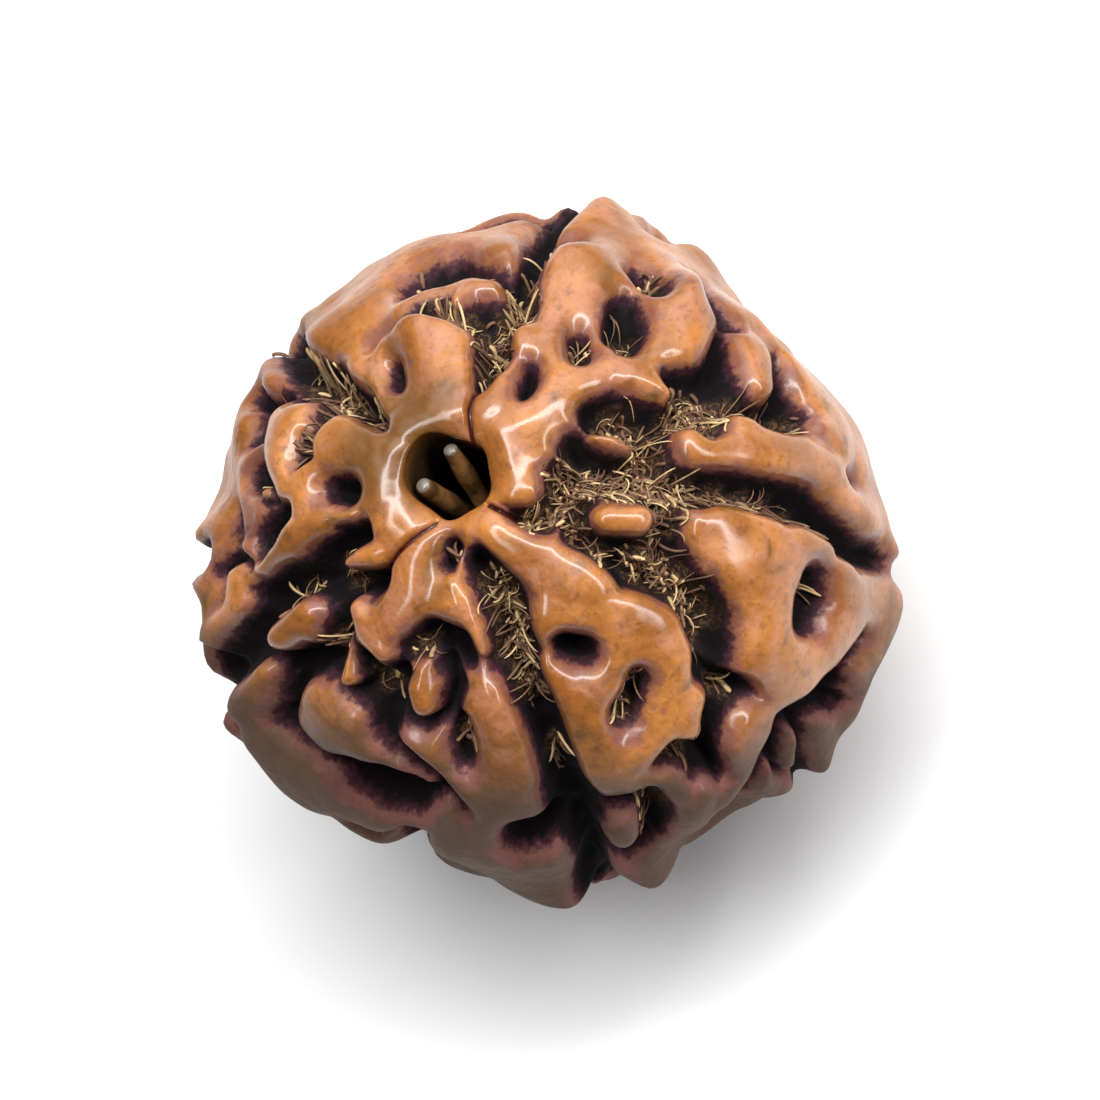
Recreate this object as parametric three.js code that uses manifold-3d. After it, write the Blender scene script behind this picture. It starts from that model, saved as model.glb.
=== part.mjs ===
import * as THREE from 'three';
import { mergeVertices } from 'three/addons/utils/BufferGeometryUtils.js';
import Module from 'manifold-3d';

// A five mukhi rudraksha: the dried stone of the fruit, grown as one woody piece.
// Five clefts run from pole to pole, a natural canal runs through along +Z, and between
// the clefts melted-looking ridges and knobs stand over dark pits and worm-like grooves.
// Millimetres, +Z up, standing on the trimmed lips of the lower pole at z = 0.

// Body
const EQUATOR_RADIUS = 10.6;
const HALF_HEIGHT = 9.3;
const FOOT_TRIM = 0.42;
const CENTRE = new THREE.Vector3(0.3, 0.03, HALF_HEIGHT - FOOT_TRIM);
const SPHERE_DETAIL = 22;

// Relief, measured down from the ridge tops
const RIM_REACH = 0.45;
const RIM_DROP = 0.28;
const SHOULDER_REACH = 1;
const SHOULDER_DROP = 0.2;
const WALL_SLOPE = 3;
const GROOVE_DEPTH = 1.65;
const RIDGE_PULL = 0.25;
const KNOB_SLOPE = 2.1;
const CROWN_RISE = 0.26;
const CREASE_REACH = 0.35;
const CREASE_DEPTH = 0.3;
const WAVE_COUNT = 12;
const WAVE_HEIGHT = 0.11;
const WAVE_LENGTHS = [2.6, 6.5];

// Canal
const CANAL_SIDES = 20;
const CANAL_RADIUS = 1.25;
const CANAL_BULGE = 0.26;
const CANAL_BULGE_AZIMUTH = THREE.MathUtils.degToRad(92);
const CANAL_MOUTH_REACH = 0.9;
const CANAL_MOUTH_DROP = 0.5;
const STRAND_RADIUS = 0.31;
const STRAND_LENGTH = 7;
const STRAND_SIDES = 7;
const STRAND_TIP_DROP = 0.6;
const STRANDS = [
  { azimuth: 131, sink: 0.12 },
  { azimuth: 47, sink: 0.12 },
];

// The side described by hand: places are seen from this height over the horizon, turned by
// this roll, from this far away, as x to the right and y up from the middle of the stone.
// Depth counts for this share of itself there, so that strokes on the flanks stay as wide as
// they look, and places are searched for in this many rounds.
const VIEW_ELEVATION = THREE.MathUtils.degToRad(65.75);
const VIEW_ROLL = THREE.MathUtils.degToRad(-54);
const VIEW_DISTANCE = 200;
const DEPTH_SHARE = 0.45;
const PLACING_ROUNDS = 6;

// Hidden side, filled by rule
const SEED = 5;
const HIDDEN_GROOVES = 150;
const HIDDEN_RIDGES = 130;
const HIDDEN_FACING = 0.1;
const CLEFT_STEPS = 11;
const LIP_COLATITUDE = THREE.MathUtils.degToRad(167);

// Broad swellings and flats of the outline: x, y, reach, height
const SWELLS = [
  [10.9, -0.4, 1.2, 0.2], [10.7, -1.8, 2, 0.5], [7.9, 7.5, 3.2, -1.1], [4.6, 9.8, 0.8, 0.3],
  [3.4, 10.2, 1.4, -0.4], [1.3, 10.8, 1.6, 0.95], [-0.2, 10.6, 0.8, -0.6], [-1.1, 10.6, 0.9, 0.4],
  [-8.4, 6.2, 1.6, 0.6], [-10.4, 4.2, 2.2, 0.1], [-10.7, 2, 1.2, -0.3], [-11, -0.5, 1.6, 1],
  [-10.4, -4.4, 2.8, 1], [-7.7, -8, 2.2, 0.4], [-3.6, -10, 2, -0.7], [0, -10.8, 1.7, 0.6],
  [1.1, -10.8, 1, 0.5], [3.4, -10.2, 1.5, 1], [5.3, -9.3, 1.8, -1.5], [7.9, -7, 1.2, 0.65],
  [9.8, -4.2, 2.4, 0.2], [-3.9, 7.1, 1.4, 0.8], [0.8, 9.2, 1.1, 0.5], [4.2, 7.9, 1.2, 0.5],
];

// Clefts between the five lobes: lists of [x, y, half width], from the canal outwards
const CLEFTS = [
  [[-2.25, 5.4, 0.1], [-2.05, 6, 0.28], [-1.75, 6.6, 0.36], [-1.4, 7.3, 0.4], [-1.05, 8, 0.38],
    [-0.75, 8.7, 0.36], [-0.5, 9.3, 0.34], [-0.25, 9.9, 0.2]],
  [[-1.15, 1, 0.1], [-0.4, 0.95, 0.3], [0.3, 1.7, 0.5], [0.6, 2.3, 0.5], [1.4, 2.3, 0.35],
    [2.6, 2.25, 0.4], [3.6, 2.3, 0.5], [4.6, 2, 0.45], [5.8, 1.9, 0.5], [7, 1.7, 0.5],
    [8, 1.5, 0.5], [8.8, 1, 0.48], [9.4, 0.5, 0.35], [9.9, -0.1, 0.12]],
  [[-2.3, -0.35, 0.2], [-2, -0.8, 0.35], [-1.6, -1.5, 0.5], [-1.35, -2.4, 0.6], [-1.2, -3.3, 0.6],
    [-0.85, -4.3, 0.4], [-0.4, -5.3, 0.42], [0, -6.3, 0.45], [0.35, -7.3, 0.5], [0.75, -8.3, 0.6],
    [1.1, -9.2, 0.6], [1.5, -10, 0.3]],
  [[-5.5, -0.95, 0.12], [-6.2, -1.15, 0.4], [-7, -1.1, 0.5], [-7.8, -1.1, 0.5], [-8.6, -1.2, 0.5],
    [-9.2, -1.7, 0.45], [-9.5, -2.5, 0.4], [-9.8, -3.2, 0.4], [-10, -4, 0.25]],
  [[-5.4, 3.9, 0.1], [-5.7, 4.3, 0.2], [-6.1, 4.8, 0.3], [-6.6, 5.1, 0.35], [-7.1, 5.4, 0.4],
    [-7.6, 5.7, 0.55], [-8, 6.1, 0.45], [-8.3, 6.6, 0.15]],
];

// Fine creases that carry the clefts on over the smooth lip, towards the canal
const CREASES = [
  [[-2.55, 3.3], [-2.52, 4.4], [-2.25, 5.4]],
  [[-2, 1.45], [-1.5, 1.2], [-1.15, 1]],
  [[-3.75, 0.85], [-4.3, 0.4], [-4.75, 0], [-5.2, -0.55], [-5.5, -0.95]],
];

// Grooves, lobe by lobe, as [x, y, half width]
const GROOVES = [
  // Upper left
  [[-5.9, 6.3, -0.4], [-5.4, 6.9, -0.36], [-4.9, 7.3, -0.2], [-4.2, 7.6, 0.2], [-3.4, 7.65, 0.32],
    [-2.6, 7.55, 0.36], [-1.9, 7.4, 0.35]],
  // Left
  [[-6.1, 0.75, 0.3], [-6.6, 0.45, 0.4], [-7, -0.2, 0.45], [-7.5, -0.7, 0.4]],
  [[-7.2, 4.6, 0.2], [-7.55, 4, 0.25], [-7.8, 3.4, 0.3], [-7.95, 2.8, 0.3]],
  [[-8.6, 1.1, 0.3], [-8.9, 0.5, 0.38], [-9.2, 0.1, 0.3]],
  [[-9.3, 2.7, 0.3], [-9.6, 2.2, 0.25]],
  [[-9.9, 1.2, 0.22], [-9.8, 0.4, 0.25]],
  [[-9.8, -0.2, 0.2], [-10.3, -0.6, 0.05]],
  [[-9.4, 4.7, 0.25], [-8.6, 4.75, 0.16]],
  [[-9.25, 4.3, 0.2], [-9.35, 3.5, 0.28]],
  // Lower left
  [[-9.9, -3.3, 0.3], [-9, -3.4, 0.35], [-8, -3.7, 0.35]],
  [[-10.2, -1.2, -0.1], [-10.25, -2.2, -0.1]],
  [[-8.6, -5.4, 0.1], [-8.1, -6.2, 0.02], [-7.2, -6.8, 0], [-6.4, -7.1, 0.2]],
  [[-4.9, -6.3, 0.25], [-4.3, -6.8, 0.28], [-3.6, -7.2, 0.25], [-3, -7.8, 0.18], [-2.6, -8.2, 0.12]],
  [[-6.1, -8.8, 0.35], [-5.9, -9.2, 0.3]],
  [[-4.5, -8.9, 0.3], [-4.3, -9.3, 0.3]],
  [[0, -9, 0.3], [0.5, -9, 0.25]],
  // Lower right
  [[1, 1.2, 0.4], [1, 0.4, 0.35], [1.5, 0, 0.3], [1.9, -0.2, 0.35], [2.5, -0.7, 0.4],
    [3.3, -1, 0.35], [4, -1.4, 0.4], [4.8, -1.7, 0.6], [5.2, -2.4, 0.75], [5.35, -3.1, 0.7],
    [5.1, -3.7, 0.42], [5.4, -4.2, 0.2]],
  [[2, 0.6, 0.42], [2.9, 0.3, 0.45], [3.7, 1.5, 0.35], [3.9, 0.7, 0.3], [3.8, -0.2, 0.4],
    [4.3, -0.9, 0.35]],
  [[0.9, 3.2, 0.35], [1.6, 2.8, 0.4], [2.4, 2.8, 0.35]],
  [[5.6, -4.4, 0.25], [6.1, -4.5, 0.35], [5.7, -4.9, 0.4], [5.3, -5.4, 0.3], [5.1, -6, 0.3],
    [4.9, -6.6, 0.45], [5.2, -7.1, 0.35]],
  [[4.4, -6.3, 0.25], [3.9, -6.4, 0.27], [3.5, -6.75, 0.22]],
  [[9.85, -2.9, 0.08], [9.35, -4.1, 0.2], [8.7, -4.95, 0.3], [7.5, -5.75, 0.2], [7, -6.6, 0.16],
    [6.5, -7.4, 0.16], [5.7, -8.15, 0.2]],
  [[9, -4.9, 0.2], [9.5, -4.7, 0.12]],
  [[8.1, -5.4, 0.1], [7.95, -7, 0.12]],
  [[7.35, -5.9, 0.12], [7.3, -7.1, 0.14]],
  // Upper right
  [[1.6, 4.4, 0.4], [2.4, 4.5, 0.5], [3.2, 4.4, 0.45], [3.2, 3.7, 0.6], [3.5, 3, 0.5],
    [3.3, 2.5, 0.4]],
  [[2.4, 4.2, 0.4], [2.6, 3.9, 0.4]],
  [[3.2, 4.4, 0.45], [4.2, 4.5, 0.45], [4.9, 4.6, 0.5], [5.2, 4, 0.35]],
  [[4.2, 5.4, 0.4], [4.9, 5.4, 0.5], [5.5, 5.6, 0.45], [5.6, 6.3, 0.35], [5.5, 6.8, 0.15]],
  [[4.9, 4.6, 0.4], [5.7, 5, 0.45], [6.3, 4.6, 0.25], [6.9, 4.5, 0.3], [7.5, 4.4, 0.35],
    [8.1, 4.25, 0.2]],
  [[6.5, 7, 0.1], [7.1, 6.4, 0.14], [7.35, 5.7, 0.2], [7.5, 5.1, 0.3], [7.6, 4.7, 0.35]],
  [[8.3, 3.4, -0.25], [9.2, 3, -0.2], [9.6, 2.2, -0.1]],
  [[0.4, 9.85, 0.15], [0.8, 9.8, 0.08]],
];

// Ridges and bars that stand up between them, as [x, y, half width]
const RIDGES = [
  // Round the canal
  [[-4.9, 2.9, 0.6], [-4.8, 2.2, 0.5], [-4.7, 1.5, 0.6], [-5.1, 1, 0.6], [-5.6, 1.8, 0.5]],
  [[-5.4, 3.3, 0.6], [-5.9, 3.6, 0.5]],
  [[-4.6, 4, 0.6], [-4, 4.2, 0.6], [-3.2, 4.1, 0.5], [-2.9, 4.8, 0.4]],
  [[-1.5, 3.6, 0.5], [-1.4, 2.8, 0.55], [-1.1, 2.1, 0.5], [-0.6, 1.9, 0.4]],
  [[-3.2, 0.8, 0.35], [-2.4, 1.1, 0.3], [-1.6, 0.6, 0.5], [-0.9, 0, 0.6], [-0.1, -0.5, 0.7],
    [0.8, -0.9, 0.8], [1.4, -1.2, 0.7]],
  // Upper left
  [[-4, 6.6, 0.8], [-3.5, 6.3, 0.9], [-3.4, 5.5, 0.9], [-3.6, 4.7, 0.8]],
  [[-6.2, 5.8, 0.35], [-5.5, 5.3, 0.35], [-5.2, 4.6, 0.35]],
  [[-7.1, 6.8, 0.85], [-6.4, 7.4, 0.85], [-5.6, 8.1, 0.75], [-4.5, 9, 0.55], [-3.5, 9.6, 0.45],
    [-2, 9.8, 0.5], [-1.1, 10.2, 0.4]],
  [[-1.7, 9.9, 0.45], [-1.6, 9.4, 0.6], [-1.75, 9.2, 0.4]],
  // Left
  [[-8.2, 4.1, 0.7], [-8.4, 2.2, 0.6]],
  [[-6.7, 3.4, 0.85], [-6, 3.1, 0.7]],
  [[-5.5, 2.6, 0.7], [-5.3, 1.4, 0.6]],
  [[-7.7, 2.4, 0.5], [-7.8, 1.6, 0.45]],
  [[-7.2, 1, 0.55], [-8.2, 0.6, 0.4], [-8.8, -0.1, 0.3], [-9.2, -0.6, 0.2]],
  [[-7.9, 1.25, 0.35], [-7, 1.12, 0.36], [-6.2, 1.05, 0.36]],
  [[-6.7, 2.8, 0.5], [-5.7, 2.2, 0.5]],
  [[-5.6, -0.2, 0.3], [-6.4, -0.4, 0.25]],
  [[-9.3, 3.3, 0.3], [-9.8, 2.6, 0.3], [-9.8, 1.6, 0.3], [-9.8, 0.5, 0.3], [-9.7, 0, 0.3]],
  [[-10.4, 1.2, 0.4], [-10.7, 0.4, 0.4]],
  // Lower left
  [[-3.6, 0.6, 0.35], [-4.3, -0.4, 0.5], [-4.6, -1.3, 0.5], [-4.8, -2.3, 0.45], [-5, -3.3, 0.3]],
  [[-7.4, -5.2, 0.7], [-6.9, -5.8, 0.65], [-6.1, -6.3, 0.35], [-5.5, -6.6, 0.28],
    [-4.7, -6.95, 0.25], [-3.8, -7.4, 0.22]],
  [[-9.5, -5.2, 0.5], [-8.9, -6, 0.6], [-8, -6.9, 0.7], [-7.1, -7.7, 0.7], [-6.2, -8.5, 0.45],
    [-5, -8.6, 0.45], [-4, -8.4, 0.45]],
  [[-4.8, -5.7, 0.35], [-4.2, -6.1, 0.4], [-3.6, -6.6, 0.4], [-2.9, -7.3, 0.45], [-2.2, -8, 0.6]],
  [[-1.9, -4.6, 0.4], [-1.7, -5.4, 0.55], [-1.4, -6.3, 0.65], [-1.2, -7.2, 0.75], [-1.5, -8, 0.8],
    [-1.9, -8.8, 0.6], [-1.9, -9.5, 0.5]],
  [[-0.9, -9.9, 0.35], [0, -9.8, 0.4]],
  [[-3.1, -8.2, 0.2], [-2.8, -9.2, 0.3], [-3.2, -9.3, 0.5]],
  // Lower right
  [[0.2, -2.2, 0.75], [1.8, -2.3, 0.8], [2.6, -2.3, 0.9], [3.3, -2.5, 0.9], [3.9, -3.2, 0.7],
    [3.9, -4.6, 0.6], [3.5, -5.6, 0.65], [2.2, -7, 0.7]],
  [[0.1, -3.7, 0.3], [0.7, -4.5, 0.45], [1.4, -5.6, 0.75], [1.9, -6.8, 0.8]],
  [[1.7, -3, 0.6], [1.8, -4.2, 0.6]],
  [[4.3, -4.9, 0.6], [4.3, -5.6, 0.5]],
  [[3.5, -7.1, 0.3], [2.7, -7.4, 0.35]],
  [[2.4, -9.9, 0.4], [3.3, -9.9, 0.55], [4, -9.5, 0.4], [4.6, -8.9, 0.3]],
  [[4.9, 0.7, 0.5], [5.7, 0.6, 0.9], [6.5, 0, 1.1], [6.9, -1, 1.1], [7, -2.2, 1], [7, -3.2, 1.1],
    [7.6, -3.8, 0.9]],
  [[6.3, -5.6, 0.7], [6, -6.2, 0.6], [6, -7, 0.45], [5.4, -7.7, 0.4]],
  [[8, 0.3, 0.5], [8.7, 0.15, 0.3]],
  [[9.3, -0.9, 0.4], [9.5, -1.6, 0.5], [9.4, -2.4, 0.55], [8.8, -3.1, 0.6], [8, -3.4, 0.6]],
  [[10.4, -1.8, 0.5], [10.2, -2.8, 0.4], [9.7, -3.8, 0.35]],
  [[9.7, -4.3, 0.35], [9.4, -5.2, 0.45]],
  [[8.6, -5.6, 0.4], [8.4, -6.6, 0.4]],
  [[7.7, -5.8, 0.2], [7.6, -6.8, 0.25]],
  [[7.1, -7.1, 0.2], [6.6, -7.8, 0.35], [6, -8.2, 0.4]],
  [[10.6, -0.1, 0.5]],
  // Upper right
  [[-0.9, 3.9, 0.6], [-0.3, 4.7, 0.6], [0.5, 5.4, 0.6], [1.3, 5.6, 0.5], [2.1, 6, 0.4]],
  [[2.6, 5.6, 0.5], [3.3, 5.2, 0.4], [3.7, 5, 0.3]],
  [[0.1, 6, 0.3], [0.2, 7, 0.3], [0.3, 7.6, 0.4]],
  [[1.5, 7.1, 0.25], [1.9, 6.4, 0.3]],
  [[-1.3, 5.1, 0.4], [-1.8, 4.5, 0.4]],
  [[-0.9, 6.8, 0.4]],
  [[0.2, 8.7, 0.6], [1, 8.8, 0.75], [1.7, 8.6, 0.7], [1.8, 8.1, 0.4]],
  [[3.4, 8, 0.4], [3.7, 7.3, 0.5], [3.4, 6.6, 0.4]],
  [[4.3, 8.6, 0.6], [4.6, 7.6, 0.8], [4.5, 6.9, 0.85], [4.1, 6.6, 0.6]],
  [[3.3, 9.3, 0.45], [3.8, 9, 0.4]],
  [[0.4, 10.1, 0.25], [1.5, 10.3, 0.6], [2.1, 10.1, 0.4]],
  [[2.4, 9.8, 0.3], [3.5, 9.6, 0.35], [4.4, 9.3, 0.45], [5, 9, 0.4], [5.8, 8, 0.45],
    [6.4, 7.2, 0.45], [7.2, 6.3, 0.35], [8, 5.3, 0.35], [8.9, 4.4, 0.35], [9.2, 3.6, 0.35],
    [9.3, 2.8, 0.3]],
  [[6.2, 6.6, 0.45], [6.6, 6, 0.55], [6.8, 5.3, 0.45]],
  [[4.5, 3.4, 0.5], [5.2, 3.1, 0.4], [6.2, 3.3, 0.7], [7.2, 3, 0.7], [8.1, 2.9, 0.65],
    [8.8, 2.6, 0.55], [9.2, 1.9, 0.5], [9.6, 1.4, 0.45], [10, 1, 0.35]],
  [[6.2, 3.8, 0.5]],
  [[9.9, 2.8, 0.4]],
];

// Knobs that stand free in the grooves, as [x, y, half width]
const KNOBS = [
  [[-3, 7.95, 0.22], [-2.45, 8.35, 0.4], [-1.75, 8.35, 0.36]],
  [[-8.8, 5.3, 0.5]],
  [[-8.15, 4.05, 0.64]],
  [[-9.1, 1.85, 0.2]],
  [[-3.1, -1.1, 0.4], [-2.85, -1.65, 0.52], [-2.4, -2.5, 0.34], [-2.15, -3.3, 0.24]],
  [[-7.8, -2.05, 0.56], [-8.5, -2.75, 0.58]],
  [[-6.1, -1.85, 0.4], [-5.75, -2.5, 0.52], [-5.2, -3.2, 0.42]],
  [[-6.5, -2.7, 0.06], [-6.48, -3.4, 0.15], [-6.48, -4.1, 0.36]],
  [[-4.1, -4.35, 0.48], [-3.95, -4.85, 0.5]],
  [[-7.5, -4.85, 0.68], [-7, -5.5, 0.74]],
  [[-9.15, -3.9, 0.38], [-9.4, -4.8, 0.52]],
  [[-10, -0.8, 0.42], [-10.05, -1.8, 0.46], [-10.3, -2.6, 0.4]],
  [[-6.7, -8.8, 0.3]],
  [[-5.3, -9.3, 0.35]],
  [[2.3, -8.7, 0.45], [2.25, -9, 0.58]],
  [[4.8, -7.6, 0.52], [4.5, -8.1, 0.55]],
  [[1.8, 1, 0.52], [2.85, 0.95, 0.52]],
  [[1.3, 3.62, 0.16], [2, 3.45, 0.32], [2.6, 3.25, 0.16]],
  [[2.2, 5.9, 0.45], [3, 5.35, 0.4], [3.75, 4.9, 0.16]],
  [[4.6, 3.35, 0.42]],
  [[6.15, 6.6, 0.42], [6.5, 5.9, 0.6], [6.8, 5.2, 0.48]],
  [[8.7, 3.9, 0.45]],
];

// Pits with a rim all round, as [x, y, half width]
const PITS = [
  [[-4.3, 8.35, 0.48], [-3.6, 8.75, 0.62], [-2.95, 9, 0.5], [-2.2, 8.95, 0.2], [-1.3, 8.7, 0.2]],
  [[-2.7, 7.75, 0.32], [-1.9, 7.8, 0.3]],
  [[-5, 5.95, 0.16], [-5, 5.45, 0.18]],
  [[-6.9, 1.95, 0.42], [-6.55, 1.9, 0.46]],
  [[-9.2, 2.3, 0.34], [-9, 1.8, 0.34]],
  [[-7.8, 5.15, 0.4], [-8.1, 4.95, 0.2]],
  [[-3.15, 0.1, 0.26], [-3.3, -0.45, 0.22]],
  [[-4.6, -3.3, 0.3], [-3.8, -2.8, 0.54], [-3.1, -3.1, 0.52], [-2.7, -3.6, 0.3]],
  [[-6.85, -1.45, 0.45], [-6.85, -2.5, 0.52], [-7, -3.35, 0.65], [-6.2, -4, 0.8],
    [-5.5, -4.6, 0.72], [-5.2, -5.5, 0.42]],
  [[-9.8, -3.6, 0.35], [-9.4, -3, 0.36], [-8.2, -3.5, 0.42], [-7.3, -3.7, 0.5]],
  [[-5.5, -5.2, 0.4], [-5.35, -5.9, 0.32], [-5.1, -6.4, 0.16]],
  [[-8.2, -3.9, 0.32], [-8.5, -4.6, 0.32], [-8.55, -5.3, 0.24]],
  [[-4.85, -4, 0.42], [-4.8, -5.2, 0.28], [-4, -5.6, 0.2], [-3.3, -5.2, 0.3], [-3.05, -4.4, 0.32],
    [-3.4, -3.6, 0.3]],
  [[-6.2, -7.35, 0.5], [-5.3, -7.7, 0.75], [-4.4, -7.85, 0.65], [-3.8, -7.8, 0.3]],
  [[-0.95, -9.15, 0.55], [-0.3, -9.1, 0.55]],
  [[-2.95, -5.5, 0.26], [-2.85, -6.1, 0.34], [-2.75, -6.7, 0.3]],
  [[0.5, -3.1, 0.4], [1.05, -3.25, 0.45]],
  [[2.85, -4.15, 0.3], [2.65, -4.8, 0.36], [2.4, -5.25, 0.42]],
  [[8.45, -0.95, 0.42], [8.4, -1.6, 0.54], [8.2, -2.35, 0.38]],
  [[3.2, -7.95, 0.38], [3.45, -8.4, 0.52], [3.35, -8.95, 0.42]],
  [[1.5, -8.3, 0.2], [2.2, -8.15, 0.16], [2.9, -8, 0.2]],
  [[1.5, -8.8, 0.25], [1.7, -9.5, 0.2], [2.5, -9.75, 0.2], [3.1, -9.3, 0.3]],
  [[2.15, 7.1, 0.42], [2.35, 7.75, 0.5], [2.6, 7.1, 0.5], [2.55, 6.8, 0.42]],
  [[2.75, 8.95, 0.2], [3.1, 8.65, 0.3], [3.5, 8.4, 0.32]],
  [[5.55, 6.6, 0.25], [5.35, 5.9, 0.38], [5.1, 5.3, 0.4]],
  [[1.3, 2.95, 0.34], [2.1, 2.75, 0.4], [2.8, 2.7, 0.36]],
  [[0.92, 6.85, 0.3], [1, 6.4, 0.32]],
  [[4.75, 8.6, 0.1], [5.1, 7.95, 0.22], [5.5, 7.4, 0.18], [6, 7.05, 0.06]],
  [[-0.6, 5.8, 0.2], [-0.7, 5.3, 0.24], [-0.85, 5, 0.16]],
];

// Places seen by hand become points on the stone's plain body, with the centre as origin
const viewAxis = new THREE.Vector3(0, -Math.cos(VIEW_ELEVATION), Math.sin(VIEW_ELEVATION));
const levelUp = new THREE.Vector3(0, Math.sin(VIEW_ELEVATION), Math.cos(VIEW_ELEVATION));
const viewRight = new THREE.Vector3(Math.cos(VIEW_ROLL), 0, 0)
  .addScaledVector(levelUp, Math.sin(VIEW_ROLL));
const viewUp = new THREE.Vector3(-Math.sin(VIEW_ROLL), 0, 0)
  .addScaledVector(levelUp, Math.cos(VIEW_ROLL));

// A point scaled so that the plain body becomes a unit sphere
function toUnit(point) {
  return new THREE.Vector3(
    point.x / EQUATOR_RADIUS, point.y / EQUATOR_RADIUS, point.z / HALF_HEIGHT);
}

// The point of the plain body in a direction from the centre
function onBody(direction) {
  return direction.clone().divideScalar(toUnit(direction).length());
}

// The point of the plain body seen at x, y: the near crossing of the sight line, or the
// limb point beside it where the line passes the body
function seenAt(x, y) {
  const eye = viewAxis.clone().multiplyScalar(VIEW_DISTANCE);
  const target = viewRight.clone().multiplyScalar(x).addScaledVector(viewUp, y);
  const sight = target.sub(eye).normalize();
  const from = toUnit(eye);
  const along = toUnit(sight);
  const a = along.lengthSq();
  const b = from.dot(along);
  const c = from.lengthSq() - 1;
  const root = Math.sqrt(Math.max(b * b - a * c, 0));
  return onBody(eye.addScaledVector(sight, (-b - root) / a));
}

const swells = SWELLS.map(([x, y, reach, height]) => ({ point: seenAt(x, y), reach, height }));

// How far the swells move a point of the plain body outwards
function swelling(point) {
  return swells.reduce(
    (sum, { point: middle, reach, height }) => (
      sum + height * Math.exp(-point.distanceToSquared(middle) / reach ** 2)),
    0);
}

// The point of the plain body that the swells bring to x, y: they move it across the line of
// sight too, so the search goes on from the place moved back by as much
function placedAt(x, y) {
  let point = seenAt(x, y);
  for (let round = 0; round < PLACING_ROUNDS; round += 1) {
    const lift = point.clone().normalize().multiplyScalar(swelling(point));
    point = seenAt(x - lift.dot(viewRight), y - lift.dot(viewUp));
  }
  return point;
}

// A point with its depth along the line of sight pressed together
function pressed(point) {
  return point.clone().addScaledVector(viewAxis, (DEPTH_SHARE - 1) * point.dot(viewAxis));
}

// Mulberry32, a small seeded generator of numbers from 0 to 1
function seededRandom(seed) {
  let state = seed >>> 0;
  return () => {
    state = (state + 0x6D2B79F5) >>> 0;
    let t = state;
    t = Math.imul(t ^ (t >>> 15), t | 1);
    t ^= t + Math.imul(t ^ (t >>> 7), t | 61);
    return ((t ^ (t >>> 14)) >>> 0) / 4294967296;
  };
}

// A direction from an angle down from +Z and an angle round it
function direction(colatitude, azimuth) {
  return new THREE.Vector3(
    Math.sin(colatitude) * Math.cos(azimuth),
    Math.sin(colatitude) * Math.sin(azimuth),
    Math.cos(colatitude));
}

// A stroke is a list of { point, width } on the plain body
function seenStroke(places) {
  return places.map(([x, y, width = 0]) => ({ point: placedAt(x, y), width }));
}

// A cleft goes on from its last seen point down a meridian to the lower lip
function cleftBelow(stroke, index, random) {
  const seenEnd = stroke[stroke.length - 1];
  const last = seenEnd.point.clone().normalize();
  const startAzimuth = Math.atan2(last.y, last.x);
  const startColatitude = Math.acos(last.z);
  const wobble = random() * 2 * Math.PI;
  const below = [];
  for (let step = 1; step <= CLEFT_STEPS; step += 1) {
    const share = step / CLEFT_STEPS;
    const colatitude = THREE.MathUtils.lerp(startColatitude, LIP_COLATITUDE, share);
    const azimuth = startAzimuth + 0.07 * Math.sin(share * 9 + wobble + index) * (1 - share);
    const width = THREE.MathUtils.lerp(seenEnd.width, 0.3, share);
    below.push({ point: onBody(direction(colatitude, azimuth)), width });
  }
  return below;
}

// Even starting directions over the whole stone, on a golden-angle spiral with jitter
function spreadDirections(count, random) {
  const golden = Math.PI * (3 - Math.sqrt(5));
  const starts = [];
  for (let index = 0; index < count; index += 1) {
    const height = 1 - 2 * (index + 0.5) / count;
    const start = direction(Math.acos(height), index * golden);
    start.x += (random() - 0.5) * 0.12;
    start.y += (random() - 0.5) * 0.12;
    start.z += (random() - 0.5) * 0.12;
    starts.push(start.normalize());
  }
  return starts;
}

// A winding stroke from a start: it walks over the body, turning a little at each step
function wanderingStroke(start, steps, stepLength, turn, widths, random) {
  const heading = new THREE.Vector3(random() - 0.5, random() - 0.5, random() - 0.5);
  let point = onBody(start);
  const stroke = [];
  for (let step = 0; step < steps; step += 1) {
    const width = THREE.MathUtils.lerp(widths[0], widths[1], random());
    stroke.push({ point, width });
    const outward = point.clone().normalize();
    heading.addScaledVector(outward, -heading.dot(outward)).normalize();
    heading.applyAxisAngle(outward, (random() - 0.5) * turn);
    point = onBody(point.clone().addScaledVector(heading, stepLength));
  }
  return stroke;
}

// Strokes by rule, only where none of their points faces the viewer
function hiddenStrokes(count, steps, stepLength, turn, widths, random) {
  return spreadDirections(count, random)
    .map((start) => wanderingStroke(start, steps, stepLength, turn, widths, random))
    .filter((stroke) => stroke.every(
      ({ point }) => point.clone().normalize().dot(viewAxis) < HIDDEN_FACING));
}

// Strokes with their points pressed
function pressedStrokes(strokes) {
  return strokes.map((stroke) => stroke.map(
    ({ point, width }) => ({ point: pressed(point), width })));
}

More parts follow.
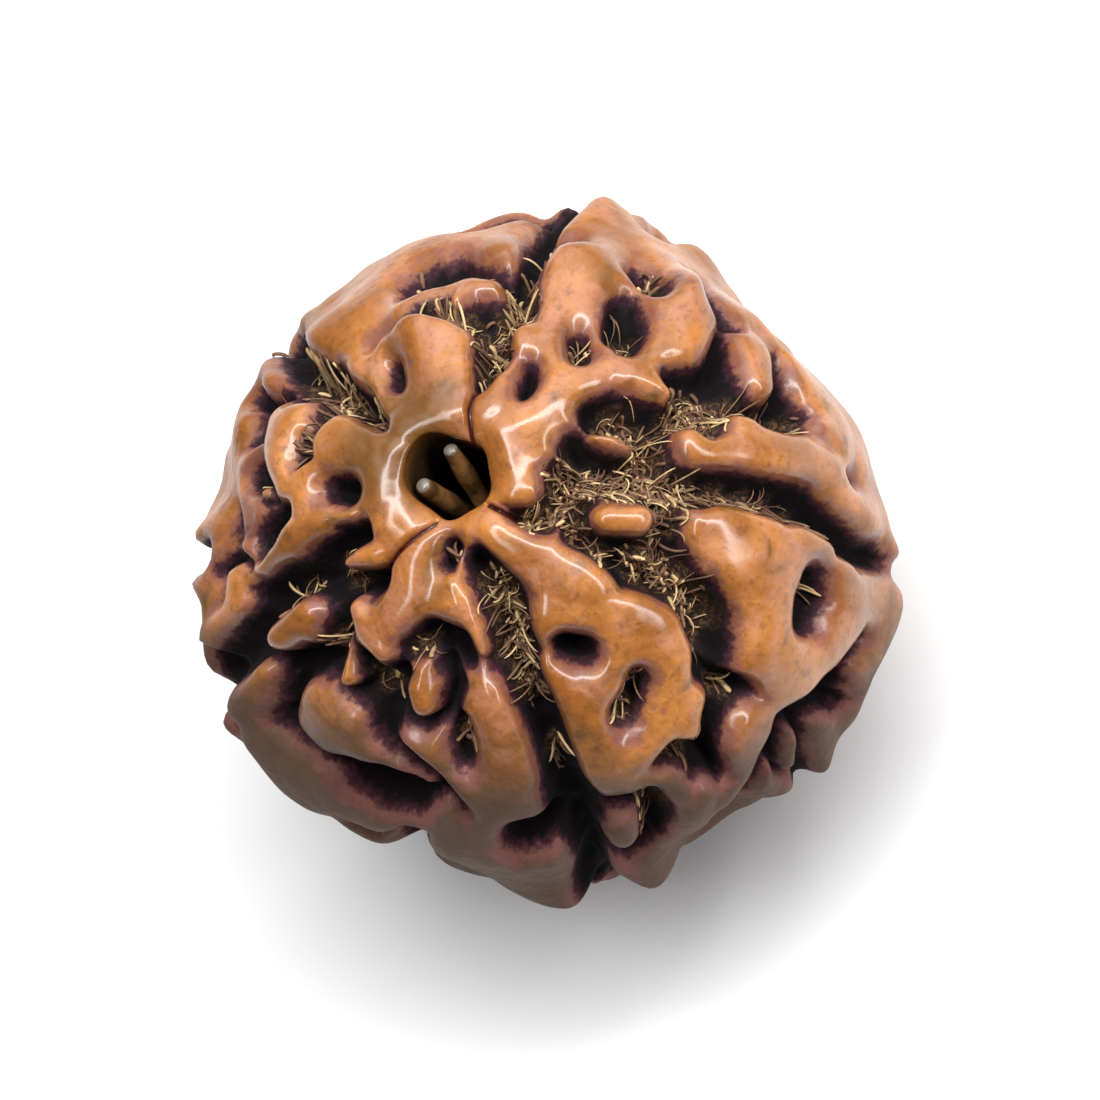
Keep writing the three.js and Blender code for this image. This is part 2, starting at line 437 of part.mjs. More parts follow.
// The nearest part of a set of strokes: edge is the distance to its edge, negative inside,
// and crown is the height of the rounded top that its width gives it
function nearestStroke(point, strokes) {
  const gap = new THREE.Vector3();
  const line = new THREE.Vector3();
  let edge = Infinity;
  let crown = 0;
  for (const stroke of strokes) {
    for (let index = 0; index < Math.max(stroke.length - 1, 1); index += 1) {
      const from = stroke[index];
      const to = stroke[index + 1] ?? from;
      line.subVectors(to.point, from.point);
      gap.subVectors(point, from.point);
      const share = THREE.MathUtils.clamp(gap.dot(line) / Math.max(line.lengthSq(), 1e-9), 0, 1);
      const distance = gap.addScaledVector(line, -share).length();
      const width = THREE.MathUtils.lerp(from.width, to.width, share);
      edge = Math.min(edge, distance - width);
      const spread = Math.max(width, 0.2);
      crown = Math.max(crown, spread * Math.exp(-0.8 * (distance / spread) ** 2));
    }
  }
  return { edge, crown };
}

// The nearest edge and the highest crown of seen strokes, which lie pressed, and hidden ones
function nearestOfBoth(point, { seen, hidden }) {
  const near = nearestStroke(pressed(point), seen);
  const far = nearestStroke(point, hidden);
  return { edge: Math.min(near.edge, far.edge), crown: Math.max(near.crown, far.crown) };
}

// Height over the ridge tops for a signed distance from a groove's edge: a broad shoulder and
// a rounded rim outside it, then a steep wall down to the floor
function grooveProfile(slope) {
  const shoulder = THREE.MathUtils.clamp(1 - slope / SHOULDER_REACH, 0, 1);
  const rim = THREE.MathUtils.clamp(1 - slope / RIM_REACH, 0, 1);
  const wall = Math.max(-slope, 0) * WALL_SLOPE;
  const floor = GROOVE_DEPTH - RIM_DROP - SHOULDER_DROP;
  return -SHOULDER_DROP * shoulder ** 2 - RIM_DROP * rim ** 2 - floor * Math.tanh(wall / floor);
}

// Low uneven waves: a sum of plane waves with seeded directions, lengths and phases
function seededWaves(random) {
  return Array.from({ length: WAVE_COUNT }, () => ({
    direction: new THREE.Vector3(random() - 0.5, random() - 0.5, random() - 0.5).normalize(),
    length: THREE.MathUtils.lerp(...WAVE_LENGTHS, random()),
    phase: random() * 2 * Math.PI,
  }));
}

const random = seededRandom(SEED);
const waves = seededWaves(random);
const cleftStrokes = CLEFTS.map(seenStroke);
const clefts = cleftStrokes.map((stroke, index) => [
  ...stroke, ...cleftBelow(stroke, index, random)]);
const grooves = {
  seen: pressedStrokes([...clefts, ...GROOVES.map(seenStroke)]),
  hidden: hiddenStrokes(HIDDEN_GROOVES, 4, 0.85, 1.6, [0.22, 0.5], random),
};
const ridges = {
  seen: pressedStrokes(RIDGES.map(seenStroke)),
  hidden: hiddenStrokes(HIDDEN_RIDGES, 3, 0.8, 1.2, [0.35, 0.75], random),
};
const knobs = pressedStrokes(KNOBS.map(seenStroke));
const pits = pressedStrokes(PITS.map(seenStroke));
const creases = pressedStrokes(CREASES.map(seenStroke));

// Height of the real surface over the plain body at a point of it. Ridges push grooves back
// by RIDGE_PULL at most, pits cut through ridges, and knobs rise from both.
function relief(point) {
  const flat = pressed(point);
  let height = swelling(point);
  for (const wave of waves) {
    const turn = 2 * Math.PI * point.dot(wave.direction) / wave.length + wave.phase;
    height += WAVE_HEIGHT * Math.sin(turn) / Math.sqrt(WAVE_COUNT);
  }
  const ridge = nearestOfBoth(point, ridges);
  const groove = nearestOfBoth(point, grooves);
  const knob = nearestStroke(flat, knobs);
  const pit = nearestStroke(flat, pits);
  const open = Math.min(groove.edge - Math.min(ridge.edge, RIDGE_PULL), pit.edge);
  height += CROWN_RISE * Math.max(ridge.crown, knob.crown);
  height += grooveProfile(Math.max(open, -KNOB_SLOPE * knob.edge));
  const crease = nearestStroke(flat, creases).edge;
  height -= CREASE_DEPTH * Math.exp(-((crease / CREASE_REACH) ** 2));
  const mouth = Math.hypot(point.x, point.y) - CANAL_RADIUS;
  const lip = THREE.MathUtils.clamp(1 - mouth / CANAL_MOUTH_REACH, 0, 1);
  return height - CANAL_MOUTH_DROP * lip * lip;
}

const wasm = await Module();
wasm.setup();

// A geometry as a solid, its shared vertices merged
function solid(geometry) {
  const bare = geometry.clone();
  bare.deleteAttribute('normal');
  bare.deleteAttribute('uv');
  const merged = mergeVertices(bare);
  return new wasm.Manifold(new wasm.Mesh({
    numProp: 3,
    vertProperties: new Float32Array(merged.attributes.position.array),
    triVerts: new Uint32Array(merged.index.array),
  }));
}

// A solid as a geometry
function toGeometry(manifold) {
  const mesh = manifold.getMesh();
  const geometry = new THREE.BufferGeometry();
  geometry.setAttribute('position', new THREE.BufferAttribute(mesh.vertProperties, 3));
  geometry.setIndex(new THREE.BufferAttribute(mesh.triVerts, 1));
  geometry.computeVertexNormals();
  return geometry;
}

// The woody body: an even sphere mesh moved out to the relief
function bodyGeometry() {
  const geometry = new THREE.IcosahedronGeometry(1, SPHERE_DETAIL);
  const position = geometry.attributes.position;
  const vertex = new THREE.Vector3();
  for (let index = 0; index < position.count; index += 1) {
    vertex.fromBufferAttribute(position, index);
    const base = onBody(vertex);
    const outward = base.clone().normalize();
    vertex.copy(base).addScaledVector(outward, relief(base)).add(CENTRE);
    position.setXYZ(index, vertex.x, vertex.y, vertex.z);
  }
  return geometry;
}

// Radius of the canal round its axis: five blunt corners, and a bulge one way
function canalRadius(azimuth) {
  const away = 1 - Math.cos(azimuth - CANAL_BULGE_AZIMUTH);
  return CANAL_RADIUS * (
    1 + 0.05 * Math.cos(5 * azimuth + 0.6) + CANAL_BULGE * Math.exp(-4 * away));
}

// The canal, running past both poles
function canalGeometry() {
  const outline = new THREE.Shape(Array.from({ length: CANAL_SIDES }, (_, index) => {
    const azimuth = 2 * Math.PI * index / CANAL_SIDES;
    const radius = canalRadius(azimuth);
    return new THREE.Vector2(radius * Math.cos(azimuth), radius * Math.sin(azimuth));
  }));
  const geometry = new THREE.ExtrudeGeometry(outline, {
    depth: 2 * HALF_HEIGHT + 4, bevelEnabled: false });
  return geometry.translate(CENTRE.x, CENTRE.y, -2);
}

// A dried strand that runs down the canal's wall, part sunk in it
function strandGeometry({ azimuth, sink }) {
  const angle = THREE.MathUtils.degToRad(azimuth);
  const reach = canalRadius(angle) - STRAND_RADIUS + sink;
  const top = CENTRE.z + HALF_HEIGHT - STRAND_TIP_DROP;
  const geometry = new THREE.CylinderGeometry(
    STRAND_RADIUS * 0.8, STRAND_RADIUS, STRAND_LENGTH, STRAND_SIDES);
  geometry.rotateX(Math.PI / 2);
  return geometry.translate(
    CENTRE.x + reach * Math.cos(angle), CENTRE.y + reach * Math.sin(angle), top - STRAND_LENGTH / 2);
}

// All that lies below the resting plane
function belowGeometry() {
  const side = 4 * EQUATOR_RADIUS;
  return new THREE.BoxGeometry(side, side, side).translate(0, 0, -side / 2);
}

function rudrakshaStone() {
  let stone = solid(bodyGeometry()).subtract(solid(canalGeometry()));
  stone = stone.subtract(solid(belowGeometry()));
  for (const strand of STRANDS) {
    stone = stone.add(solid(strandGeometry(strand)));
  }
  const material = new THREE.MeshStandardMaterial({
    color: 0xa5652f, roughness: 0.38, metalness: 0 });
  const mesh = new THREE.Mesh(toGeometry(stone), material);
  mesh.name = 'rudraksha_stone';
  return mesh;
}

const rudraksha = new THREE.Group();
rudraksha.add(rudrakshaStone());

export default rudraksha;
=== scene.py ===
"""A five mukhi rudraksha: the dried stone of the fruit, with its oiled ridges, stained slopes,
dark grooves full of dried pulp, and the natural canal with its two glassy strands.

The classes hold their sizes in millimetres, and meshes are written in metres, in the CAD's frame.
The stone's surface is a plain squat body moved out and in by a relief. The relief comes from
strokes: lists of places with a half width, read off the portrait side, and made by a
seeded rule on the sides that it hides.
"""
import logging
import math
from collections.abc import Callable, Sequence
from dataclasses import dataclass

import bpy
import numpy as np
from mathutils import Matrix


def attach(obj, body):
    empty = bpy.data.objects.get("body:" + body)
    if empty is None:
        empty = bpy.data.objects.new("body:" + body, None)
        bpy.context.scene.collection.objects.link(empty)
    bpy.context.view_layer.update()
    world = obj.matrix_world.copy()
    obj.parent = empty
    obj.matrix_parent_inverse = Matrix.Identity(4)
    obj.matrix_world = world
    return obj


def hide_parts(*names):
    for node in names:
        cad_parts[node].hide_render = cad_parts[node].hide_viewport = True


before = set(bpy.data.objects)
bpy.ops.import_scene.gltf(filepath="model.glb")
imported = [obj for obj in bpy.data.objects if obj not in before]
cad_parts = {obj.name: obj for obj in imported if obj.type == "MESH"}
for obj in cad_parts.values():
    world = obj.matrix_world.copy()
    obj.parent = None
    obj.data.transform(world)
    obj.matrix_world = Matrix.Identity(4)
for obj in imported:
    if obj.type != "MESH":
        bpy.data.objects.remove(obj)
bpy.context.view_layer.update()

LOG = logging.getLogger("rudraksha")
MM = 0.001
STONE_NODE = "rudraksha_stone"

Array = np.ndarray
Place = tuple[float, ...]
Pair = tuple[float, float]
Triple = tuple[float, float, float]
Socket = bpy.types.NodeSocket

# A direction that no strand and no fibre runs along
SLANT = (0.31, 0.52, 0.79)

# Places on the portrait side, in millimetres right of and above the stone's middle as it is seen
# there. Most lists give x, y and a half width, the creases give x and y alone, and the swells
# give x, y, reach and height.
SWELLS = (
    (10.9, -0.4, 1.2, 0.2), (10.7, -1.8, 2, 0.5), (7.9, 7.5, 3.2, -1.1), (4.6, 9.8, 0.8, 0.3),
    (3.4, 10.2, 1.4, -0.4), (1.3, 10.8, 1.6, 0.95), (-0.2, 10.6, 0.8, -0.6), (-1.1, 10.6, 0.9, 0.4),
    (-8.4, 6.2, 1.6, 0.6), (-10.4, 4.2, 2.2, 0.1), (-10.7, 2, 1.2, -0.3), (-11, -0.5, 1.6, 1),
    (-10.4, -4.4, 2.8, 1), (-7.7, -8, 2.2, 0.4), (-3.6, -10, 2, -0.7), (0, -10.8, 1.7, 0.6),
    (1.1, -10.8, 1, 0.5), (3.4, -10.2, 1.5, 1), (5.3, -9.3, 1.8, -1.5), (7.9, -7, 1.2, 0.65),
    (9.8, -4.2, 2.4, 0.2), (-3.9, 7.1, 1.4, 0.8), (0.8, 9.2, 1.1, 0.5), (4.2, 7.9, 1.2, 0.5),
)

CLEFTS = (
    ((-2.25, 5.4, 0.1), (-2.05, 6, 0.28), (-1.75, 6.6, 0.36), (-1.4, 7.3, 0.4), (-1.05, 8, 0.38),
     (-0.75, 8.7, 0.36), (-0.5, 9.3, 0.34), (-0.25, 9.9, 0.2)),
    ((-1.15, 1, 0.1), (-0.4, 0.95, 0.3), (0.3, 1.7, 0.5), (0.6, 2.3, 0.5), (1.4, 2.3, 0.35),
     (2.6, 2.25, 0.4), (3.6, 2.3, 0.5), (4.6, 2, 0.45), (5.8, 1.9, 0.5), (7, 1.7, 0.5),
     (8, 1.5, 0.5), (8.8, 1, 0.48), (9.4, 0.5, 0.35), (9.9, -0.1, 0.12)),
    ((-2.3, -0.35, 0.2), (-2, -0.8, 0.35), (-1.6, -1.5, 0.5), (-1.35, -2.4, 0.6), (-1.2, -3.3, 0.6),
     (-0.85, -4.3, 0.4), (-0.4, -5.3, 0.42), (0, -6.3, 0.45), (0.35, -7.3, 0.5), (0.75, -8.3, 0.6),
     (1.1, -9.2, 0.6), (1.5, -10, 0.3)),
    ((-5.5, -0.95, 0.12), (-6.2, -1.15, 0.4), (-7, -1.1, 0.5), (-7.8, -1.1, 0.5), (-8.6, -1.2, 0.5),
     (-9.2, -1.7, 0.45), (-9.5, -2.5, 0.4), (-9.8, -3.2, 0.4), (-10, -4, 0.25)),
    ((-5.4, 3.9, 0.1), (-5.7, 4.3, 0.2), (-6.1, 4.8, 0.3), (-6.6, 5.1, 0.35), (-7.1, 5.4, 0.4),
     (-7.6, 5.7, 0.55), (-8, 6.1, 0.45), (-8.3, 6.6, 0.15)),
)

CREASES = (
    ((-2.55, 3.3), (-2.52, 4.4), (-2.25, 5.4)),
    ((-2, 1.45), (-1.5, 1.2), (-1.15, 1)),
    ((-3.75, 0.85), (-4.3, 0.4), (-4.75, 0), (-5.2, -0.55), (-5.5, -0.95)),
)

GROOVES = (
    # Upper left
    ((-5.9, 6.3, -0.4), (-5.4, 6.9, -0.36), (-4.9, 7.3, -0.2), (-4.2, 7.6, 0.2), (-3.4, 7.65, 0.32),
     (-2.6, 7.55, 0.36), (-1.9, 7.4, 0.35)),
    # Left
    ((-6.1, 0.75, 0.3), (-6.6, 0.45, 0.4), (-7, -0.2, 0.45), (-7.5, -0.7, 0.4)),
    ((-7.2, 4.6, 0.2), (-7.55, 4, 0.25), (-7.8, 3.4, 0.3), (-7.95, 2.8, 0.3)),
    ((-8.6, 1.1, 0.3), (-8.9, 0.5, 0.38), (-9.2, 0.1, 0.3)),
    ((-9.3, 2.7, 0.3), (-9.6, 2.2, 0.25)),
    ((-9.9, 1.2, 0.22), (-9.8, 0.4, 0.25)),
    ((-9.8, -0.2, 0.2), (-10.3, -0.6, 0.05)),
    ((-9.4, 4.7, 0.25), (-8.6, 4.75, 0.16)),
    ((-9.25, 4.3, 0.2), (-9.35, 3.5, 0.28)),
    # Lower left
    ((-9.9, -3.3, 0.3), (-9, -3.4, 0.35), (-8, -3.7, 0.35)),
    ((-10.2, -1.2, -0.1), (-10.25, -2.2, -0.1)),
    ((-8.6, -5.4, 0.1), (-8.1, -6.2, 0.02), (-7.2, -6.8, 0), (-6.4, -7.1, 0.2)),
    ((-4.9, -6.3, 0.25), (-4.3, -6.8, 0.28), (-3.6, -7.2, 0.25), (-3, -7.8, 0.18),
     (-2.6, -8.2, 0.12)),
    ((-6.1, -8.8, 0.35), (-5.9, -9.2, 0.3)),
    ((-4.5, -8.9, 0.3), (-4.3, -9.3, 0.3)),
    ((0, -9, 0.3), (0.5, -9, 0.25)),
    # Lower right
    ((1, 1.2, 0.4), (1, 0.4, 0.35), (1.5, 0, 0.3), (1.9, -0.2, 0.35), (2.5, -0.7, 0.4),
     (3.3, -1, 0.35), (4, -1.4, 0.4), (4.8, -1.7, 0.6), (5.2, -2.4, 0.75), (5.35, -3.1, 0.7),
     (5.1, -3.7, 0.42), (5.4, -4.2, 0.2)),
    ((2, 0.6, 0.42), (2.9, 0.3, 0.45), (3.7, 1.5, 0.35), (3.9, 0.7, 0.3), (3.8, -0.2, 0.4),
     (4.3, -0.9, 0.35)),
    ((0.9, 3.2, 0.35), (1.6, 2.8, 0.4), (2.4, 2.8, 0.35)),
    ((5.6, -4.4, 0.25), (6.1, -4.5, 0.35), (5.7, -4.9, 0.4), (5.3, -5.4, 0.3), (5.1, -6, 0.3),
     (4.9, -6.6, 0.45), (5.2, -7.1, 0.35)),
    ((4.4, -6.3, 0.25), (3.9, -6.4, 0.27), (3.5, -6.75, 0.22)),
    ((9.85, -2.9, 0.08), (9.35, -4.1, 0.2), (8.7, -4.95, 0.3), (7.5, -5.75, 0.2), (7, -6.6, 0.16),
     (6.5, -7.4, 0.16), (5.7, -8.15, 0.2)),
    ((9, -4.9, 0.2), (9.5, -4.7, 0.12)),
    ((8.1, -5.4, 0.1), (7.95, -7, 0.12)),
    ((7.35, -5.9, 0.12), (7.3, -7.1, 0.14)),
    # Upper right
    ((1.6, 4.4, 0.4), (2.4, 4.5, 0.5), (3.2, 4.4, 0.45), (3.2, 3.7, 0.6), (3.5, 3, 0.5),
     (3.3, 2.5, 0.4)),
    ((2.4, 4.2, 0.4), (2.6, 3.9, 0.4)),
    ((3.2, 4.4, 0.45), (4.2, 4.5, 0.45), (4.9, 4.6, 0.5), (5.2, 4, 0.35)),
    ((4.2, 5.4, 0.4), (4.9, 5.4, 0.5), (5.5, 5.6, 0.45), (5.6, 6.3, 0.35), (5.5, 6.8, 0.15)),
    ((4.9, 4.6, 0.4), (5.7, 5, 0.45), (6.3, 4.6, 0.25), (6.9, 4.5, 0.3), (7.5, 4.4, 0.35),
     (8.1, 4.25, 0.2)),
    ((6.5, 7, 0.1), (7.1, 6.4, 0.14), (7.35, 5.7, 0.2), (7.5, 5.1, 0.3), (7.6, 4.7, 0.35)),
    ((8.3, 3.4, -0.25), (9.2, 3, -0.2), (9.6, 2.2, -0.1)),
    ((0.4, 9.85, 0.15), (0.8, 9.8, 0.08)),
)

RIDGES = (
    # Round the canal
    ((-4.9, 2.9, 0.6), (-4.8, 2.2, 0.5), (-4.7, 1.5, 0.6), (-5.1, 1, 0.6), (-5.6, 1.8, 0.5)),
    ((-5.4, 3.3, 0.6), (-5.9, 3.6, 0.5)),
    ((-4.6, 4, 0.6), (-4, 4.2, 0.6), (-3.2, 4.1, 0.5), (-2.9, 4.8, 0.4)),
    ((-1.5, 3.6, 0.5), (-1.4, 2.8, 0.55), (-1.1, 2.1, 0.5), (-0.6, 1.9, 0.4)),
    ((-3.2, 0.8, 0.35), (-2.4, 1.1, 0.3), (-1.6, 0.6, 0.5), (-0.9, 0, 0.6), (-0.1, -0.5, 0.7),
     (0.8, -0.9, 0.8), (1.4, -1.2, 0.7)),
    # Upper left
    ((-4, 6.6, 0.8), (-3.5, 6.3, 0.9), (-3.4, 5.5, 0.9), (-3.6, 4.7, 0.8)),
    ((-6.2, 5.8, 0.35), (-5.5, 5.3, 0.35), (-5.2, 4.6, 0.35)),
    ((-7.1, 6.8, 0.85), (-6.4, 7.4, 0.85), (-5.6, 8.1, 0.75), (-4.5, 9, 0.55), (-3.5, 9.6, 0.45),
     (-2, 9.8, 0.5), (-1.1, 10.2, 0.4)),
    ((-1.7, 9.9, 0.45), (-1.6, 9.4, 0.6), (-1.75, 9.2, 0.4)),
    # Left
    ((-8.2, 4.1, 0.7), (-8.4, 2.2, 0.6)),
    ((-6.7, 3.4, 0.85), (-6, 3.1, 0.7)),
    ((-5.5, 2.6, 0.7), (-5.3, 1.4, 0.6)),
    ((-7.7, 2.4, 0.5), (-7.8, 1.6, 0.45)),
    ((-7.2, 1, 0.55), (-8.2, 0.6, 0.4), (-8.8, -0.1, 0.3), (-9.2, -0.6, 0.2)),
    ((-7.9, 1.25, 0.35), (-7, 1.12, 0.36), (-6.2, 1.05, 0.36)),
    ((-6.7, 2.8, 0.5), (-5.7, 2.2, 0.5)),
    ((-5.6, -0.2, 0.3), (-6.4, -0.4, 0.25)),
    ((-9.3, 3.3, 0.3), (-9.8, 2.6, 0.3), (-9.8, 1.6, 0.3), (-9.8, 0.5, 0.3), (-9.7, 0, 0.3)),
    ((-10.4, 1.2, 0.4), (-10.7, 0.4, 0.4)),
    # Lower left
    ((-3.6, 0.6, 0.35), (-4.3, -0.4, 0.5), (-4.6, -1.3, 0.5), (-4.8, -2.3, 0.45), (-5, -3.3, 0.3)),
    ((-7.4, -5.2, 0.7), (-6.9, -5.8, 0.65), (-6.1, -6.3, 0.35), (-5.5, -6.6, 0.28),
     (-4.7, -6.95, 0.25), (-3.8, -7.4, 0.22)),
    ((-9.5, -5.2, 0.5), (-8.9, -6, 0.6), (-8, -6.9, 0.7), (-7.1, -7.7, 0.7), (-6.2, -8.5, 0.45),
     (-5, -8.6, 0.45), (-4, -8.4, 0.45)),
    ((-4.8, -5.7, 0.35), (-4.2, -6.1, 0.4), (-3.6, -6.6, 0.4), (-2.9, -7.3, 0.45), (-2.2, -8, 0.6)),
    ((-1.9, -4.6, 0.4), (-1.7, -5.4, 0.55), (-1.4, -6.3, 0.65), (-1.2, -7.2, 0.75), (-1.5, -8, 0.8),
     (-1.9, -8.8, 0.6), (-1.9, -9.5, 0.5)),
    ((-0.9, -9.9, 0.35), (0, -9.8, 0.4)),
    ((-3.1, -8.2, 0.2), (-2.8, -9.2, 0.3), (-3.2, -9.3, 0.5)),
    # Lower right
    ((0.2, -2.2, 0.75), (1.8, -2.3, 0.8), (2.6, -2.3, 0.9), (3.3, -2.5, 0.9), (3.9, -3.2, 0.7),
     (3.9, -4.6, 0.6), (3.5, -5.6, 0.65), (2.2, -7, 0.7)),
    ((0.1, -3.7, 0.3), (0.7, -4.5, 0.45), (1.4, -5.6, 0.75), (1.9, -6.8, 0.8)),
    ((1.7, -3, 0.6), (1.8, -4.2, 0.6)),
    ((4.3, -4.9, 0.6), (4.3, -5.6, 0.5)),
    ((3.5, -7.1, 0.3), (2.7, -7.4, 0.35)),
    ((2.4, -9.9, 0.4), (3.3, -9.9, 0.55), (4, -9.5, 0.4), (4.6, -8.9, 0.3)),
    ((4.9, 0.7, 0.5), (5.7, 0.6, 0.9), (6.5, 0, 1.1), (6.9, -1, 1.1), (7, -2.2, 1), (7, -3.2, 1.1),
     (7.6, -3.8, 0.9)),
    ((6.3, -5.6, 0.7), (6, -6.2, 0.6), (6, -7, 0.45), (5.4, -7.7, 0.4)),
    ((8, 0.3, 0.5), (8.7, 0.15, 0.3)),
    ((9.3, -0.9, 0.4), (9.5, -1.6, 0.5), (9.4, -2.4, 0.55), (8.8, -3.1, 0.6), (8, -3.4, 0.6)),
    ((10.4, -1.8, 0.5), (10.2, -2.8, 0.4), (9.7, -3.8, 0.35)),
    ((9.7, -4.3, 0.35), (9.4, -5.2, 0.45)),
    ((8.6, -5.6, 0.4), (8.4, -6.6, 0.4)),
    ((7.7, -5.8, 0.2), (7.6, -6.8, 0.25)),
    ((7.1, -7.1, 0.2), (6.6, -7.8, 0.35), (6, -8.2, 0.4)),
    ((10.6, -0.1, 0.5),),
    # Upper right
    ((-0.9, 3.9, 0.6), (-0.3, 4.7, 0.6), (0.5, 5.4, 0.6), (1.3, 5.6, 0.5), (2.1, 6, 0.4)),
    ((2.6, 5.6, 0.5), (3.3, 5.2, 0.4), (3.7, 5, 0.3)),
    ((0.1, 6, 0.3), (0.2, 7, 0.3), (0.3, 7.6, 0.4)),
    ((1.5, 7.1, 0.25), (1.9, 6.4, 0.3)),
    ((-1.3, 5.1, 0.4), (-1.8, 4.5, 0.4)),
    ((-0.9, 6.8, 0.4),),
    ((0.2, 8.7, 0.6), (1, 8.8, 0.75), (1.7, 8.6, 0.7), (1.8, 8.1, 0.4)),
    ((3.4, 8, 0.4), (3.7, 7.3, 0.5), (3.4, 6.6, 0.4)),
    ((4.3, 8.6, 0.6), (4.6, 7.6, 0.8), (4.5, 6.9, 0.85), (4.1, 6.6, 0.6)),
    ((3.3, 9.3, 0.45), (3.8, 9, 0.4)),
    ((0.4, 10.1, 0.25), (1.5, 10.3, 0.6), (2.1, 10.1, 0.4)),
    ((2.4, 9.8, 0.3), (3.5, 9.6, 0.35), (4.4, 9.3, 0.45), (5, 9, 0.4), (5.8, 8, 0.45),
     (6.4, 7.2, 0.45), (7.2, 6.3, 0.35), (8, 5.3, 0.35), (8.9, 4.4, 0.35), (9.2, 3.6, 0.35),
     (9.3, 2.8, 0.3)),
    ((6.2, 6.6, 0.45), (6.6, 6, 0.55), (6.8, 5.3, 0.45)),
    ((4.5, 3.4, 0.5), (5.2, 3.1, 0.4), (6.2, 3.3, 0.7), (7.2, 3, 0.7), (8.1, 2.9, 0.65),
     (8.8, 2.6, 0.55), (9.2, 1.9, 0.5), (9.6, 1.4, 0.45), (10, 1, 0.35)),
    ((6.2, 3.8, 0.5),),
    ((9.9, 2.8, 0.4),),
)

# Knobs that stand free in the grooves
KNOBS = (
    ((-3, 7.95, 0.22), (-2.45, 8.35, 0.4), (-1.75, 8.35, 0.36)),
    ((-8.8, 5.3, 0.5),),
    ((-8.15, 4.05, 0.64),),
    ((-9.1, 1.85, 0.2),),
    ((-3.1, -1.1, 0.4), (-2.85, -1.65, 0.52), (-2.4, -2.5, 0.34), (-2.15, -3.3, 0.24)),
    ((-7.8, -2.05, 0.56), (-8.5, -2.75, 0.58)),
    ((-6.1, -1.85, 0.4), (-5.75, -2.5, 0.52), (-5.2, -3.2, 0.42)),
    ((-6.5, -2.7, 0.06), (-6.48, -3.4, 0.15), (-6.48, -4.1, 0.36)),
    ((-4.1, -4.35, 0.48), (-3.95, -4.85, 0.5)),
    ((-7.5, -4.85, 0.68), (-7, -5.5, 0.74)),
    ((-9.15, -3.9, 0.38), (-9.4, -4.8, 0.52)),
    ((-10, -0.8, 0.42), (-10.05, -1.8, 0.46), (-10.3, -2.6, 0.4)),
    ((-6.7, -8.8, 0.3),),
    ((-5.3, -9.3, 0.35),),
    ((2.3, -8.7, 0.45), (2.25, -9, 0.58)),
    ((4.8, -7.6, 0.52), (4.5, -8.1, 0.55)),
    ((1.8, 1, 0.52), (2.85, 0.95, 0.52)),
    ((1.3, 3.62, 0.16), (2, 3.45, 0.32), (2.6, 3.25, 0.16)),
    ((2.2, 5.9, 0.45), (3, 5.35, 0.4), (3.75, 4.9, 0.16)),
    ((4.6, 3.35, 0.42),),
    ((6.15, 6.6, 0.42), (6.5, 5.9, 0.6), (6.8, 5.2, 0.48)),
    ((8.7, 3.9, 0.45),),
)

